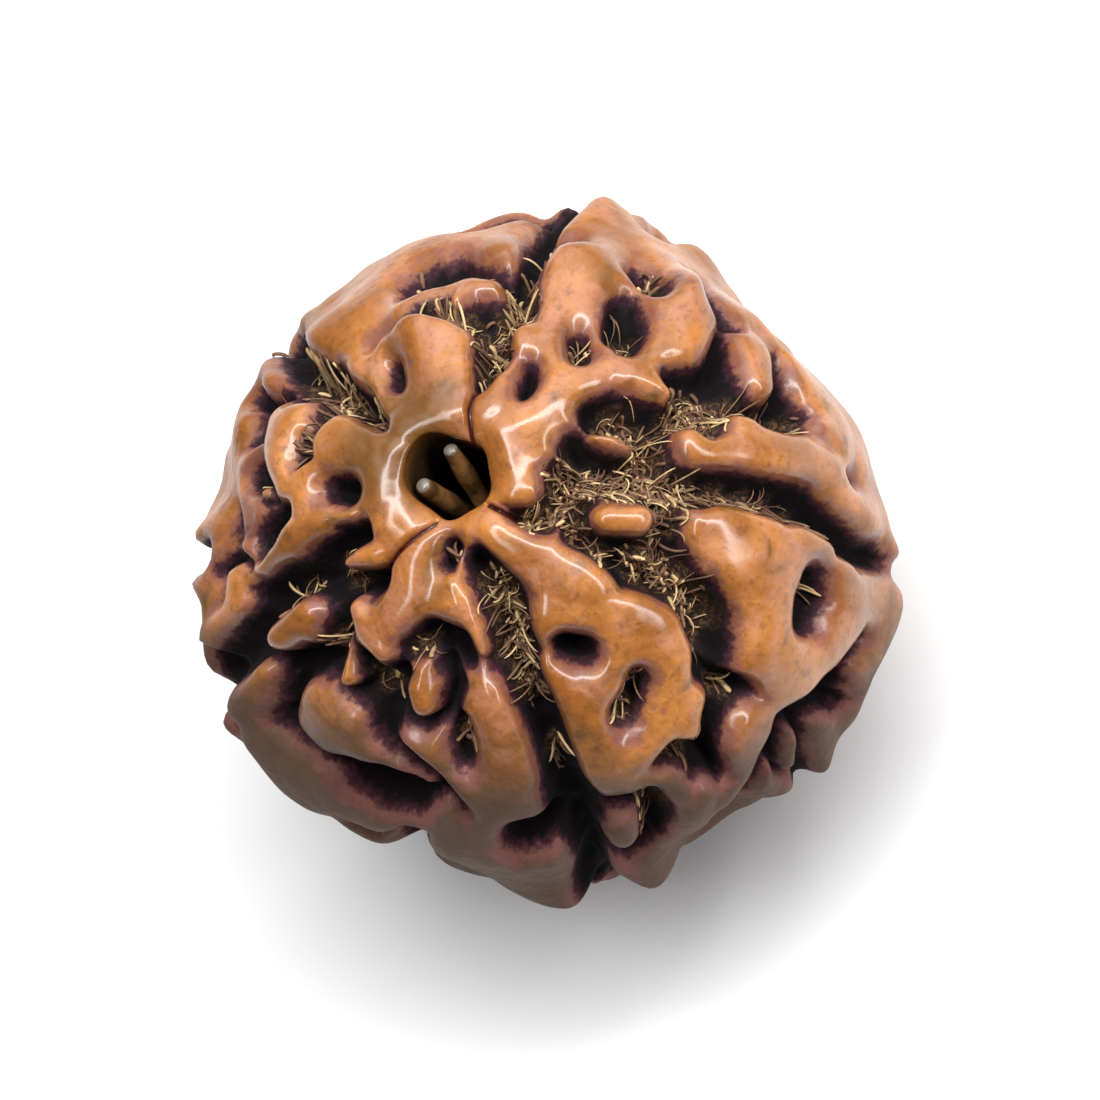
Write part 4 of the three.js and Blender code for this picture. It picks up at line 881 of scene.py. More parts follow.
class Recipe:
    """A material's node tree, built one named node at a time."""

    def __init__(self, name: str) -> None:
        """Starts an empty material with a Principled shader.

        Args:
            name: The material's name.
        """
        self.material = bpy.data.materials.new(name)
        self.material.use_nodes = True
        self.tree = self.material.node_tree
        self.tree.nodes.clear()
        self.shader = self.tree.nodes.new("ShaderNodeBsdfPrincipled")
        output = self.tree.nodes.new("ShaderNodeOutputMaterial")
        self.link(self.shader.outputs["BSDF"], output.inputs["Surface"])
        self.place = self.tree.nodes.new("ShaderNodeTexCoord").outputs["Object"]

    def link(self, source: Socket, target: Socket) -> None:
        """Joins two sockets."""
        self.tree.links.new(source, target)

    def put(self, socket: Socket, value: object) -> None:
        """Gives a socket a link, if the value is a socket, or else the value itself."""
        if isinstance(value, Socket):
            self.link(value, socket)
        else:
            socket.default_value = value

    def attribute(self, name: str) -> Socket:
        """Reads a number kept on the mesh's vertices."""
        node = self.tree.nodes.new("ShaderNodeAttribute")
        node.attribute_name = name
        return node.outputs["Fac"]

    def measure(self, operation: str, other: Triple = (0.0, 0.0, 0.0)) -> Socket:
        """Measures the Object coordinates, in metres, against another vector or alone.

        Args:
            operation: The Vector Math node's operation.
            other: The place or direction, where the operation takes one.

        Returns:
            The measure.
        """
        node = self.tree.nodes.new("ShaderNodeVectorMath")
        node.operation = operation
        self.link(self.place, node.inputs[0])
        node.inputs[1].default_value = other
        return node.outputs["Value"]

    def noise(self, clouds: Clouds) -> Socket:
        """Adds cloudy noise in Object coordinates.

        Args:
            clouds: What the noise is like.

        Returns:
            The noise, from 0 to 1 round 0.5.
        """
        node = self.tree.nodes.new("ShaderNodeTexNoise")
        self.link(self.place, node.inputs["Vector"])
        node.inputs["Scale"].default_value = 1 / (clouds.size * MM)
        node.inputs["Detail"].default_value = clouds.detail
        node.inputs["Roughness"].default_value = clouds.roughness
        node.inputs["Distortion"].default_value = clouds.distortion
        return node.outputs["Fac"]

    def math(self, operation: str, first: object, second: object = 0.0,
             third: object = 0.0) -> Socket:
        """Adds one step of arithmetic.

        Args:
            operation: The Math node's operation.
            first: A socket or a number, as are the others.
            second: The second value.
            third: The third value, which only some operations take.

        Returns:
            The outcome.
        """
        node = self.tree.nodes.new("ShaderNodeMath")
        node.operation = operation
        for socket, value in zip(node.inputs, (first, second, third)):
            self.put(socket, value)
        return node.outputs[0]

    def pushed(self, noise: Socket, amount: float) -> Socket:
        """Turns noise round 0.5 into a push round 0, as strong as the amount."""
        return self.math("MULTIPLY_ADD", noise, amount, -amount / 2)

    def ramp(self, value: Socket, edges: Pair) -> Socket:
        """Brings a value to 0 at the first edge and 1 at the second, smoothly and held there.

        Args:
            value: The value.
            edges: The two edges, of which either may be the higher.

        Returns:
            The share, from 0 to 1.
        """
        node = self.tree.nodes.new("ShaderNodeMapRange")
        node.interpolation_type = "SMOOTHSTEP"
        self.link(value, node.inputs["Value"])
        node.inputs["From Min"].default_value, node.inputs["From Max"].default_value = edges
        return node.outputs["Result"]

    def mix(self, share: object, first: object, second: object) -> Socket:
        """Mixes two colours.

        Args:
            share: Share of the second, from 0 to 1.
            first: A colour or a socket.
            second: A colour or a socket.

        Returns:
            The mixed colour.
        """
        node = self.tree.nodes.new("ShaderNodeMix")
        node.data_type = "RGBA"
        self.put(node.inputs["Factor"], share)
        for name, colour in (("A", first), ("B", second)):
            self.put(node.inputs[name], (*colour, 1.0) if isinstance(colour, tuple) else colour)
        return node.outputs["Result"]

    def stained(self, below: object, stains: Sequence[tuple[Stain, Socket]]) -> object:
        """Lays stains over a colour, one by one.

        Args:
            below: The first colour.
            stains: Each stain with the value that it follows.

        Returns:
            The stained colour.
        """
        for stain, value in stains:
            share = self.ramp(value, stain.edges)
            if stain.most < 1:
                share = self.math("MULTIPLY", share, stain.most)
            below = self.mix(share, below, stain.colour)
        return below

    def bump(self, height: Socket, depth: float, strength: float = 1.0) -> None:
        """Roughens the shader's surface by a height.

        Args:
            height: The height, from 0 to 1.
            depth: What 1 stands for, in millimetres.
            strength: Share of it that shows.
        """
        node = self.tree.nodes.new("ShaderNodeBump")
        node.inputs["Strength"].default_value = strength
        node.inputs["Distance"].default_value = depth * MM
        self.link(height, node.inputs["Height"])
        self.link(node.outputs["Normal"], self.shader.inputs["Normal"])

    def finished(self, inputs: dict[str, object]) -> bpy.types.Material:
        """Puts values or links into the shader's sockets.

        Args:
            inputs: The value for each named socket.

        Returns:
            The material.
        """
        for name, value in inputs.items():
            self.put(self.shader.inputs[name], value)
        return self.material


@dataclass(frozen=True)
class OiledStoneFinish:
    """Handled, oiled wood: glossy ridge tops, stained slopes and near-black grooves.

    Sizes of clouds are in millimetres. Edges of stains are in metres, or in the unit of the value
    that the stain follows.
    """

    ridge: Triple = srgb(140, 84, 34)
    golden: Stain = Stain(srgb(178, 114, 54), (0.4, 0.66))
    olive: Stain = Stain(srgb(98, 66, 30), (0.52, 0.78))
    # Pale pink patches at random: partly the stone's own tone, partly a painted sheen.
    pink_tone_and_sheen: Stain = Stain(srgb(178, 122, 98), (0.48, 0.62), 0.4)
    # Olive round the canal's mouth: partly the stone's tone, partly painted shade of the hollow.
    mouth: Stain = Stain(srgb(98, 66, 30), (2.9 * MM, 1.2 * MM), 0.75)
    speck: Stain = Stain(srgb(96, 50, 24), (0.5, 0.72), 0.45)
    # Grime and painted shade: darker towards the side away from the key light.
    grime_and_shade: Stain = Stain(srgb(80, 62, 50), (-5.2 * MM, -2.4 * MM), 0.92)
    mauve: Stain = Stain(srgb(116, 72, 66), (0.48, 0.05), 0.8)
    purple: Stain = Stain(srgb(56, 28, 36), (0.14, 0))
    black: Stain = Stain(srgb(15, 10, 14), (0.02, -0.13))
    crack: Stain = Stain(srgb(70, 16, 10), (0.15, 0.7))
    canal_wall: Stain = Stain(srgb(50, 36, 20), (0, 0.2))
    # Painted shade: near black deeper down the canal.
    canal_shade: Stain = Stain(srgb(15, 10, 14), (0.15, 0.8))
    debris: Triple = srgb(44, 32, 26)
    straw: Stain = Stain(srgb(98, 72, 50), (0.5, 0.6))
    caught_edges: Pair = (0.15, 0.6)
    caught_depth: Pair = (0.02, -0.16)
    golden_clouds: Clouds = Clouds(3.4, 3, 0.6)
    pink_sheen_clouds: Clouds = Clouds(1.7, 4, 0.65, 0.8)
    straw_clouds: Clouds = Clouds(0.26, 3, 0.65, 1.5)
    patch_clouds: Clouds = Clouds(1.3, 4, 0.6, 0.5)
    speck_clouds: Clouds = Clouds(0.3, 3, 0.7)
    patch_push: float = 1.6
    speck_push: float = 0.7
    edge_push: float = 0.34
    # Grime and painted shade grow along this direction: down the picture, away from the key light.
    grime_shade_direction: Triple = (-0.63, -0.23, -0.65)
    grime_shade_push: float = 2.0
    # The middle of the olive and painted shade round the canal's mouth.
    mouth_place: Triple = (0.2 * MM, 2.3 * MM, 17.6 * MM)
    roughness: float = 0.36
    groove_edges: Pair = (0.15, -0.15)
    groove_roughness: float = 0.45
    patch_roughness: float = 0.12
    grime_shade_roughness: float = 0.3
    ior: float = 1.25
    handled_direction: Triple = (0, -0.411, 0.912)
    handled_edges: Pair = (9.2 * MM, 13.5 * MM)
    handled_oil: float = 0.55
    least_oil: float = 0.22
    grime_shade_on_oil: float = 0.85
    oil_edges: Pair = (0, 0.3)
    oil_roughness: float = 0.16
    oil_ior: float = 1.55
    pocks: Clouds = Clouds(0.3, 3, 0.6)
    dents: Clouds = Clouds(1.1, 2, 0.5)
    pock_share: float = 0.22
    bump_depth: float = 0.2

    def make(self) -> bpy.types.Material:
        """Builds the material.

        The stains on the slopes follow the relief's slope, pushed about by noise. Grime with
        painted shade grows towards the side away from the key light, also pushed about. The oil
        lies on the ridge tops that hands reach, and less on that grimy, shaded side.

        Returns:
            The material.
        """
        recipe = Recipe("oiled_stone")
        slope = recipe.attribute("slope")
        canal = recipe.attribute("canal")
        patches = recipe.noise(self.patch_clouds)
        specks = recipe.noise(self.speck_clouds)
        drifted = recipe.math("ADD", slope, recipe.pushed(patches, self.patch_push))
        drifted = recipe.math("ADD", drifted, recipe.pushed(specks, self.speck_push))
        edge = recipe.math("ADD", slope, recipe.pushed(specks, self.edge_push))
        # Grime and painted shade grow towards the side away from the key light, pushed about by the
        # patches.
        grime_shade_reach = recipe.math("MULTIPLY_ADD", patches, self.grime_shade_push * MM,
                                  recipe.measure("DOT_PRODUCT", self.grime_shade_direction))
        colour = recipe.stained(self.ridge, (
            (self.golden, recipe.noise(self.golden_clouds)),
            (self.olive, patches),
            # Pale pink patches, partly a painted sheen.
            (self.pink_tone_and_sheen, recipe.noise(self.pink_sheen_clouds)),
            # Olive round the canal's mouth, partly painted shade of the hollow.
            (self.mouth, recipe.measure("DISTANCE", self.mouth_place)),
            (self.speck, specks),
            (self.grime_and_shade, grime_shade_reach),
            (self.mauve, drifted),
            (self.purple, edge),
            (self.black, edge)))
        pulp = recipe.stained(self.debris, ((self.straw, recipe.noise(self.straw_clouds)),))
        caught = recipe.math("MULTIPLY", recipe.ramp(recipe.attribute("pulp"), self.caught_edges),
                             recipe.ramp(edge, self.caught_depth))
        colour = recipe.stained(recipe.mix(caught, colour, pulp), (
            (self.crack, recipe.attribute("crease")),
            (self.canal_wall, canal),
            # Painted shade deeper down the canal.
            (self.canal_shade, canal)))
        grime_shade = recipe.ramp(grime_shade_reach, self.grime_and_shade.edges)
        rough = recipe.math("MULTIPLY_ADD", recipe.ramp(edge, self.groove_edges),
                            self.groove_roughness, self.roughness)
        rough = recipe.math("MULTIPLY_ADD", patches, self.patch_roughness, rough)
        rough = recipe.math("MULTIPLY_ADD", grime_shade, self.grime_shade_roughness, rough)
        handled = recipe.ramp(recipe.measure("DOT_PRODUCT", self.handled_direction),
                              self.handled_edges)
        oiled = recipe.math("MULTIPLY_ADD", handled, self.handled_oil, self.least_oil)
        clean = recipe.math("MULTIPLY_ADD", grime_shade, -self.grime_shade_on_oil, 1)
        oiled = recipe.math("MULTIPLY", oiled, clean)
        uneven = recipe.math("MULTIPLY_ADD", recipe.noise(self.pocks), self.pock_share,
                             recipe.noise(self.dents))
        recipe.bump(uneven, self.bump_depth)
        return recipe.finished({
            "Base Color": colour, "Roughness": rough, "IOR": self.ior,
            "Coat Weight": recipe.math("MULTIPLY", recipe.ramp(edge, self.oil_edges), oiled),
            "Coat Roughness": self.oil_roughness, "Coat IOR": self.oil_ior})


@dataclass(frozen=True)
class StrandFinish:
    """Amber-brown, glassy dried strands with pale broken tips."""

    amber: Triple = srgb(128, 90, 50)
    dark: Stain = Stain(srgb(72, 48, 26), (0.35, 0.65))
    tip: Stain = Stain(srgb(104, 98, 88), (0.82, 0.97))
    streaks: Clouds = Clouds(0.6)
    roughness: float = 0.3
    gloss: float = 0.3
    gloss_roughness: float = 0.08
    wrinkles: Clouds = Clouds(0.12)
    wrinkle_depth: float = 0.02
    wrinkle_strength: float = 0.5

    def make(self) -> bpy.types.Material:
        """Builds the material. The tip's paleness follows the height kept on the vertices."""
        recipe = Recipe("canal_strand")
        colour = recipe.stained(self.amber, (
            (self.dark, recipe.noise(self.streaks)),
            (self.tip, recipe.attribute("tip"))))
        recipe.bump(recipe.noise(self.wrinkles), self.wrinkle_depth, self.wrinkle_strength)
        return recipe.finished({
            "Base Color": colour, "Roughness": self.roughness, "Coat Weight": self.gloss,
            "Coat Roughness": self.gloss_roughness})


@dataclass(frozen=True)
class PulpFinish:
    """Matt dried pulp, from straw to grey-brown, a shade of its own for each fibre."""

    brown: Triple = srgb(104, 70, 50)
    straw: Stain = Stain(srgb(214, 182, 130), (0.0, 1.0))
    mottle: Clouds = Clouds(0.3)
    mottle_push: float = 0.5
    roughness: float = 0.75
    grain: Clouds = Clouds(0.06, 2)
    grain_depth: float = 0.01
    grain_strength: float = 0.6

    def make(self) -> bpy.types.Material:
        """Builds the material, which reads each fibre's shade from its vertices."""
        recipe = Recipe("dried_pulp")
        shade = recipe.math("ADD", recipe.attribute("shade"),
                            recipe.pushed(recipe.noise(self.mottle), self.mottle_push))
        recipe.bump(recipe.noise(self.grain), self.grain_depth, self.grain_strength)
        return recipe.finished({
            "Base Color": recipe.stained(self.brown, ((self.straw, shade),)),
            "Roughness": self.roughness})


@dataclass(frozen=True)
class PaperFinish:
    """The plain pale floor: matt paper, white round the stone and greyer far out."""

    white: Triple = (0.82, 0.82, 0.82)
    # Painted fall-off of the light: grey far out from the stone.
    grey: Stain = Stain((0.5, 0.5, 0.5), (24.0 * MM, 70.0 * MM))
    roughness: float = 0.9

    def make(self) -> bpy.types.Material:
        """Builds the material. It fades with the distance from the floor's middle, as painted
        fall-off.
        """
        recipe = Recipe("pale_paper")
        colour = recipe.stained(self.white, ((self.grey, recipe.measure("LENGTH")),))
        return recipe.finished({"Base Color": colour, "Roughness": self.roughness})


@dataclass
class RudrakshaStone:
    """The woody stone, as one closed surface that runs over the outside and up the canal."""

    pattern: GroovePattern
    columns: int = 400
    outside_rows: int = 214
    canal_rows: int = 26
    top_fineness: float = 0.28
    front_fineness: float = 0.3
    relax_rounds: int = 3
    relax_share: float = 0.5
    canal_easing: float = 1.5
    canal_sway: float = 0.05
    corners: int = 5
    corner_rise: float = 0.05
    corner_turn: float = 0.6
    bulge: float = 0.26
    bulge_azimuth: float = math.radians(92)
    bulge_narrowness: float = 4.0
    canal_fade: float = 4.0

    @property
    def canal_shares(self) -> Array:
        """How deep each canal row lies, from the upper mouth at 0 to the lower one at 1."""
        return np.linspace(0, 1, self.canal_rows + 2)[1:-1] ** self.canal_easing

    def canal_radius(self, azimuth: Array) -> Array:
        """Gives the canal's radius round its axis: five blunt corners, and a bulge one way."""
        away = 1 - np.cos(azimuth - self.bulge_azimuth)
        blunt = self.corner_rise * np.cos(self.corners * azimuth + self.corner_turn)
        return self.pattern.canal_radius * (
            1 + blunt + self.bulge * np.exp(-self.bulge_narrowness * away))

    def outside(self, azimuth: Array) -> tuple[Array, Relief]:
        """Works out the rows from the upper mouth to the lower one.

        Each row's colatitude runs between the angles at which the plain body is as wide as the
        canal, in steps that are shorter near the top. The relief then moves the points.

        Args:
            azimuth: The columns' angles.

        Returns:
            The points and their relief.
        """
        body = self.pattern.body
        reach = self.canal_radius(azimuth)
        first = np.arctan(reach / (body.half_height
                                   * np.sqrt(1 - (reach / body.equator_radius) ** 2)))
        share = np.linspace(0, 1, self.outside_rows)[:, None]
        eased = (1 - self.top_fineness) * share + self.top_fineness * share ** 2
        colatitude = first + (math.pi - 2 * first) * eased
        directions = direction(colatitude, np.broadcast_to(azimuth, colatitude.shape))
        return self.pattern.surface(body.at(directions).reshape(-1, 3))

    def canal(self, outside: Array) -> Array:
        """Works out the rows inside the canal, from the lower mouth up to the upper one.

        Each column runs straight between its two mouth points, shaken a little by waves, in
        steps that are shorter near the upper mouth.

        Args:
            outside: The outside rows' points.

        Returns:
            The canal rows' points.
        """
        grid = outside.reshape(self.outside_rows, self.columns, 3)
        points = lerp(grid[-1], grid[0], 1 - self.canal_shares[::-1, None, None])
        centre = np.array(self.pattern.body.centre)
        across = points[..., :2] - centre[:2]
        sway = self.pattern.waves.at(points - centre)[..., None]
        points[..., :2] = centre[:2] + across * (1 + self.canal_sway * sway)
        return points.reshape(-1, 3)

    def relaxed(self, vertices: Array) -> Array:
        """Evens the closed grid out: each point moves towards the mean of its four neighbours.

        Args:
            vertices: The grid's points, row by row.

        Returns:
            The moved points.
        """
        grid = vertices.reshape(-1, self.columns, 3)
        for _ in range(self.relax_rounds):
            mean = (np.roll(grid, 1, 0) + np.roll(grid, -1, 0)
                    + np.roll(grid, 1, 1) + np.roll(grid, -1, 1)) / 4
            grid = lerp(grid, mean, self.relax_share)
        return grid.reshape(-1, 3)

    def build(self) -> bpy.types.Object:
        """Builds the stone, and stands its lips flat on z = 0.

        Returns:
            The piece.
        """
        even = np.arange(self.columns) * 2 * np.pi / self.columns
        azimuth = even - self.front_fineness * np.sin(even + np.pi / 2)
        outside, relief = self.outside(azimuth)
        canal = self.canal(outside)
        vertices = self.relaxed(np.vstack([outside, canal]))
        vertices[:, 2] = np.maximum(vertices[:, 2], 0)
        inner = np.ones(len(canal))
        outward = outside - np.array(self.pattern.body.centre)
        plain = outward - unit(outward) * relief.height[:, None]
        depth = np.repeat(self.canal_shares[::-1], self.columns)
        attributes = {
            "slope": np.concatenate([relief.slope, inner]),
            "crease": np.concatenate([relief.crease, inner * 0]),
            "pulp": np.concatenate([self.pattern.caught_pulp(plain), inner * 0]),
            "canal": np.concatenate([relief.slope * 0, depth * self.canal_fade]),
        }
        faces = closed_grid_faces(self.outside_rows + self.canal_rows, self.columns)
        piece = write_mesh("stone", vertices, faces, attributes, OiledStoneFinish().make())
        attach(piece, "root")
        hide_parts(STONE_NODE)
        return piece


def tubes(paths: Array, radii: Array, sides: int,
          flat: Array | float = 1.0) -> tuple[Array, Array]:
    """Carries a round section along many paths at once; the ends are left open.

    At each path point a ring is set across the path: its two directions are the cross products
    of the path's own direction with a fixed slanted one.

    Args:
        paths: Points of each path, as paths by points by x, y, z.
        radii: Radius at each point, as paths by points.
        sides: Sides of the section.
        flat: Height of the section over its width, one for all paths or for each.

    Returns:
        Vertices and four-sided faces.
    """
    count, steps, _ = paths.shape
    along = unit(np.gradient(paths, axis=1))
    side = unit(np.cross(along, SLANT))
    over = np.cross(along, side)
    angle = np.arange(sides) * 2 * np.pi / sides
    squeeze = np.broadcast_to(flat, count)
    ring = (side[:, :, None] * np.cos(angle)[:, None]
            + over[:, :, None] * np.sin(angle)[:, None] * squeeze[:, None, None, None])
    vertices = paths[:, :, None] + ring * radii[:, :, None, None]
    tube, step, corner = np.meshgrid(np.arange(count), np.arange(steps - 1), np.arange(sides),
                                     indexing="ij")
    base = (tube * steps + step) * sides
    beside = (corner + 1) % sides
    quads = np.stack((base + corner, base + beside, base + sides + beside, base + sides + corner),
                     axis=-1).reshape(-1, 4)
    return vertices.reshape(-1, 3), quads


@dataclass
class CanalStrands:
    """The two dried strands that stand in the canal near its wall, with broken pale tips."""

    pattern: GroovePattern
    radius: float = 0.31
    length: float = 7.0
    tip_drop: float = 0.6
    azimuths: tuple[float, ...] = (math.radians(131), math.radians(47))
    leans: tuple[Pair, ...] = ((0.08, -0.55), (-0.8, -0.95))
    lean_depth: float = 2.8
    sunk: float = 0.7
    easing: float = 1.6
    dome: float = 0.3
    slim_tip: Pair = (0.7, 0.7)
    least_taper: float = 0.01
    sway: float = 0.06
    sway_bends: float = 31.0
    sway_phase: float = 3.0
    pale_depth: float = 0.9
    steps: int = 40
    sides: int = 14

    def build(self) -> bpy.types.Object:
        """Builds both strands as tubes with rounded ends.

        Each path starts near the wall and leans away from it down to lean_depth. Its radius is
        a blunt dome at the tip and sways lower down.

        Returns:
            The piece.
        """
        body = self.pattern.body
        angle = np.array(self.azimuths)
        share = np.linspace(0, 1, self.steps) ** self.easing
        reach = self.pattern.canal_radius - self.radius * self.sunk
        leaning = np.minimum(share[:, None] * self.length / self.lean_depth, 1)
        away = np.array(self.leans)
        x = body.centre[0] + reach * np.cos(angle) + away[:, 0] * leaning
        y = body.centre[1] + reach * np.sin(angle) + away[:, 1] * leaning
        top = body.centre[2] + body.half_height - self.tip_drop
        z = np.broadcast_to((top - self.length * share)[:, None], x.shape)
        paths = np.stack([x, y, z], axis=-1).transpose(1, 0, 2)
        near_end = np.minimum(share, 1 - share) * self.length / (self.dome * self.radius)
        dome = 1 - (1 - np.clip(near_end, 0, 1)) ** 2
        taper = np.sqrt(np.clip(dome, self.least_taper ** 2, 1))
        slimness, slim_length = self.slim_tip
        taper *= lerp(slimness, 1, np.clip(share * self.length / slim_length, 0, 1))
        bends = share[None] * self.sway_bends + angle[:, None] * self.sway_phase
        sway = 1 + self.sway * np.sin(bends)
        vertices, faces = tubes(paths, self.radius * taper * sway, self.sides)
        tip = np.repeat(np.tile(1 - share * self.length / self.pale_depth, len(angle)), self.sides)
        piece = write_mesh("canal_strands", vertices, faces, {"tip": tip}, StrandFinish().make())
        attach(piece, "root")
        return piece


@dataclass
class PulpFibres:
    """Dried pulp caught in the grooves: flat straws and flakes, each sunk in at its root."""

    pattern: GroovePattern
    steps: int = 7
    sides: int = 4
    seed: int = 11
    highest_slope: float = 0.2
    thinning: float = 0.75
    length: Pair = (0.2, 0.85)
    combed_length: Pair = (0.4, 1)
    combed_turn: float = 14.0
    scatter: float = 0.6
    bend: float = 0.15
    rise: Pair = (0.3, 0.25)
    clearance: float = 0.015
    root_depth: float = 0.05
    radius: Pair = (0.04, 0.1)
    shortness: float = 1.5
    slim_length: float = 1.3
    slimmest: float = 0.3
    end_taper: float = 4.0
    end_widths: Pair = (0.6, 0.4)
    flatness: Pair = (0.3, 0.7)
    darkness: float = 2.4

    def roots(self, random: np.random.Generator) -> tuple[Array, Array, Array]:
        """Scatters fibre roots round the places where pulp is caught, on the plain body.

        Args:
            random: The generator.

        Returns:
            The roots, the headings and the lengths, one row for each fibre.
        """
        loose = np.array(PULP_PLACES)
        combed = np.array(COMBED_PLACES)
        loose = np.repeat(loose, (loose[:, 3] * self.thinning).astype(int), axis=0)
        combed = np.repeat(combed, (combed[:, 3] * self.thinning).astype(int), axis=0)
        places = np.vstack([loose[:, :3], combed[:, :3]])
        spots = places[:, :2] + random.normal(0, self.scatter, (len(places), 2)) * places[:, 2:]
        angle = np.radians(combed[:, 4:] + random.normal(0, self.combed_turn, (len(combed), 1)))
        view = self.pattern.view
        headings = np.vstack([random.normal(0, 1, (len(loose), 3)),
                              view.right * np.cos(angle) + view.up * np.sin(angle)])
        lengths = np.concatenate([
            lerp(*self.length, random.random(len(loose)) ** self.shortness),
            lerp(*self.combed_length, random.random(len(combed)))])
        return self.pattern.seen_at(spots), headings, lengths

    def walk(self, roots: Array, headings: Array, lengths: Array, bend: Array) -> Array:
        """Walks each fibre over the plain body, bending steadily one way.

        Args:
            roots: Where they start.
            headings: The directions in which they set off.
            lengths: How long they are.
            bend: The turn at each step, in radians.

        Returns:
            The points, as fibres by steps by x, y, z.
        """
        point, heading = roots, headings
        points = []
        for _ in range(self.steps):
            points.append(point)
            outward = unit(point)
            heading = unit(heading - outward * (heading * outward).sum(-1, keepdims=True))
            turned = np.cross(outward, heading) * np.sin(bend)[:, None]
            heading = heading * np.cos(bend)[:, None] + turned
            stride = (lengths / (self.steps - 1))[:, None]
            point = self.pattern.body.at(point + heading * stride)
        return np.stack(points, axis=1)

    def build(self) -> bpy.types.Object:
        """Builds all fibres as one piece.

        A fibre's height runs straight from the ground at its root to a little over the ground
        at its end, with a low arch between, and nowhere under the ground. Fibres that would
        climb a ridge are left out.

        Returns:
            The piece.
        """
        random = np.random.default_rng(self.seed)
        roots, headings, lengths = self.roots(random)
        walked = self.walk(roots, headings, lengths, random.normal(0, self.bend, len(roots)))
        relief = self.pattern.measure(walked.reshape(-1, 3))
        ground = relief.height.reshape(walked.shape[:2])
        kept = relief.slope.reshape(walked.shape[:2]).max(axis=1) < self.highest_slope
        walked, ground, lengths = walked[kept], ground[kept], lengths[kept]
        count = len(walked)
        share = np.linspace(0, 1, self.steps)
        rise = random.random((count, 2)) ** 2 * np.array(self.rise) * lengths[:, None]
        arch = rise[:, :1] * 4 * share * (1 - share)
        straight = lerp(ground[:, :1], ground[:, -1:] + rise[:, 1:], share)
        height = np.maximum(straight + arch, ground + self.clearance)
        height[:, 0] = ground[:, 0] - self.root_depth
        centre = np.array(self.pattern.body.centre)
        paths = walked + unit(walked) * height[..., None] + centre
        slender = np.clip(self.slim_length - lengths, self.slimmest, 1)
        thick = (lerp(*self.radius, random.random(count)) * slender)[:, None]
        taper = np.clip(np.minimum(share * self.end_taper + self.end_widths[0],
                                   (1 - share) * self.end_taper + self.end_widths[1]), 0, 1)
        vertices, faces = tubes(paths, thick * taper, self.sides,
                                lerp(*self.flatness, random.random(count)))
        shade = np.repeat(random.random(count) ** self.darkness, self.steps * self.sides)
        piece = write_mesh("pulp_fibres", vertices, faces, {"shade": shade}, PulpFinish().make())
        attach(piece, "root")
        return piece


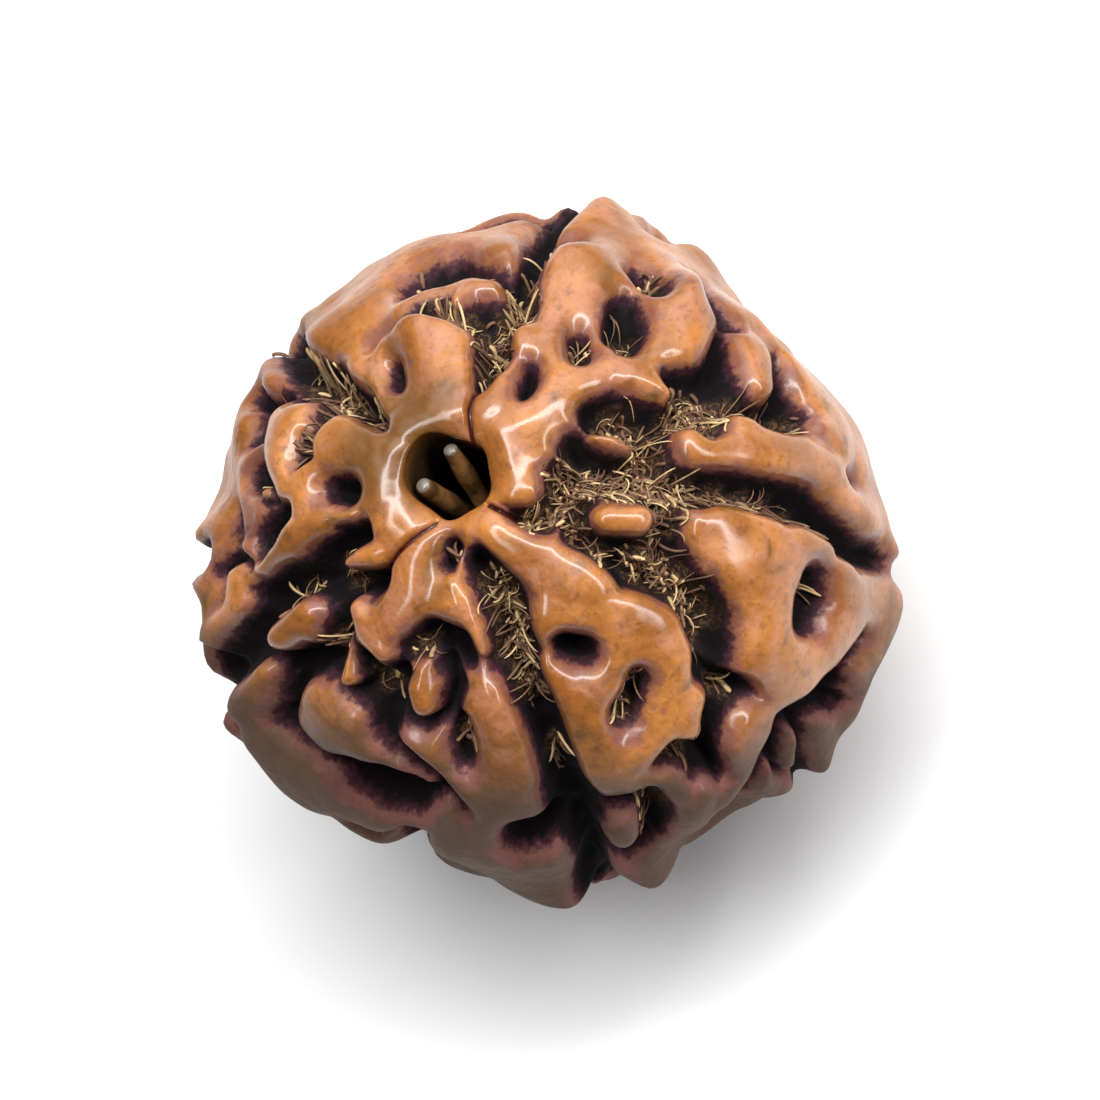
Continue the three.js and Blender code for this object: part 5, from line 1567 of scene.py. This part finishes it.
@dataclass
class Studio:
    """A pale floor, an arch of lamps round the lens, a soft key light and the camera."""

    body: PlainBody
    view: Viewpoint
    frame_width: float = 34.375
    sensor: float = 36.0
    floor_size: float = 1600.0
    floor_cells: int = 40
    ring_lamps: int = 19
    ring_arc: Pair = (math.radians(-12), math.radians(192))
    ring_radius: float = 165.0
    ring_distance: float = 230.0
    lamp_size: float = 58.0
    lamp_power: float = 0.082
    lowest_lamp: float = 0.2
    lamp_tilt: float = 0.01
    clip_start: float = 10.0
    key_direction: Triple = (-0.15, 0.8, 0.55)
    key_strength: float = 2.1
    key_edges: Pair = (0.6, 0.97)
    sky: float = 0.11

    def matrix(self, place: Array, right: Array, up: Array) -> Matrix:
        """Makes the world matrix of a camera or lamp that looks back along right x up."""
        back = np.cross(right, up)
        rows = np.column_stack([right, up, back, place * MM])
        return Matrix(rows.tolist() + [[0, 0, 0, 1]])

    def add_camera(self) -> None:
        """Adds the camera. Its lens makes the frame as wide as frame_width at the centre."""
        data = bpy.data.cameras.new("portrait")
        data.sensor_width = self.sensor
        data.lens = self.sensor * self.view.distance / self.frame_width
        data.clip_start = self.clip_start * MM
        camera = bpy.data.objects.new("portrait", data)
        place = np.array(self.body.centre) + self.view.axis * self.view.distance
        camera.matrix_world = self.matrix(place, self.view.right, self.view.up)
        bpy.context.scene.collection.objects.link(camera)
        bpy.context.scene.camera = camera

    def add_lamp(self, name: str, place: Array, size: float, power: float) -> None:
        """Adds a round area lamp that faces the stone.

        Args:
            name: The lamp's name.
            place: Where it is, in millimetres from the stone's centre.
            size: Its diameter, in millimetres.
            power: In watts.
        """
        data = bpy.data.lights.new(name, "AREA")
        data.shape = "DISK"
        data.size = size * MM
        data.energy = power
        lamp = bpy.data.objects.new(name, data)
        back = unit(place)
        right = unit(np.cross(self.view.up + self.lamp_tilt * self.view.axis, back))
        lamp.matrix_world = self.matrix(place + np.array(self.body.centre), right,
                                        np.cross(back, right))
        bpy.context.scene.collection.objects.link(lamp)

    def add_lights(self) -> None:
        """Adds the arch of lamps, weaker towards its foot, and the sky."""
        for index in range(self.ring_lamps):
            angle = lerp(*self.ring_arc, index / (self.ring_lamps - 1))
            across = self.view.right * math.cos(angle) + self.view.up * math.sin(angle)
            place = self.view.axis * self.ring_distance + across * self.ring_radius
            power = self.lamp_power * lerp(self.lowest_lamp, 1, (1 + math.sin(angle)) / 2)
            self.add_lamp(f"arch_lamp_{index}", place, self.lamp_size, power)
        self.add_sky()

    def add_sky(self) -> None:
        """Adds an even pale sky with a soft glow above the picture, as of a large soft lamp.

        The glow follows the cosine between each direction of the sky and the key's direction.
        """
        right, up, out = self.key_direction
        key = unit(self.view.right * right + self.view.up * up + self.view.axis * out)
        world = bpy.data.worlds.new("pale_sky")
        world.use_nodes = True
        tree = world.node_tree
        toward = tree.nodes.new("ShaderNodeTexCoord").outputs["Generated"]
        cosine = tree.nodes.new("ShaderNodeVectorMath")
        cosine.operation = "DOT_PRODUCT"
        cosine.inputs[1].default_value = tuple(float(part) for part in key)
        tree.links.new(toward, cosine.inputs[0])
        glow = tree.nodes.new("ShaderNodeMapRange")
        glow.interpolation_type = "SMOOTHSTEP"
        edges = ("From Min", "From Max", "To Min", "To Max")
        for name, value in zip(edges, (*self.key_edges, self.sky, self.key_strength)):
            glow.inputs[name].default_value = value
        tree.links.new(cosine.outputs["Value"], glow.inputs["Value"])
        background = tree.nodes["Background"]
        background.inputs["Color"].default_value = (1, 1, 1, 1)
        tree.links.new(glow.outputs["Result"], background.inputs["Strength"])
        bpy.context.scene.world = world

    def add_floor(self) -> None:
        """Adds the floor, a plain square sheet on z = 0."""
        columns = self.floor_cells + 1
        side = np.linspace(-0.5, 0.5, columns) * self.floor_size
        x, y = np.meshgrid(side, side, indexing="ij")
        vertices = np.stack([x, y, 0 * x], axis=-1).reshape(-1, 3)
        cells = np.arange(self.floor_cells)
        row, column = np.meshgrid(cells, cells, indexing="ij")
        base = row * columns + column
        corners = (base, base + columns, base + columns + 1, base + 1)
        faces = np.stack(corners, axis=-1).reshape(-1, 4)
        floor = write_mesh("floor", vertices, faces, {}, PaperFinish().make())

    def build(self) -> None:
        """Sets up the whole studio, with colours shown as they are."""
        self.add_camera()
        self.add_lights()
        self.add_floor()
        bpy.context.scene.view_settings.view_transform = "Standard"


def main() -> None:
    """Builds every piece in order, and reports each."""
    logging.basicConfig(level=logging.INFO, format="%(name)s: %(message)s")
    body, view = PlainBody(), Viewpoint()
    pattern = GroovePattern(body, view)
    builders: tuple[Callable[[], bpy.types.Object], ...] = (
        RudrakshaStone(pattern).build, CanalStrands(pattern).build, PulpFibres(pattern).build)
    for build in builders:
        piece = build()
        LOG.info("%s: %d faces", piece.name, len(piece.data.polygons))
    Studio(body, view).build()


if __name__ == "__main__":
    main()
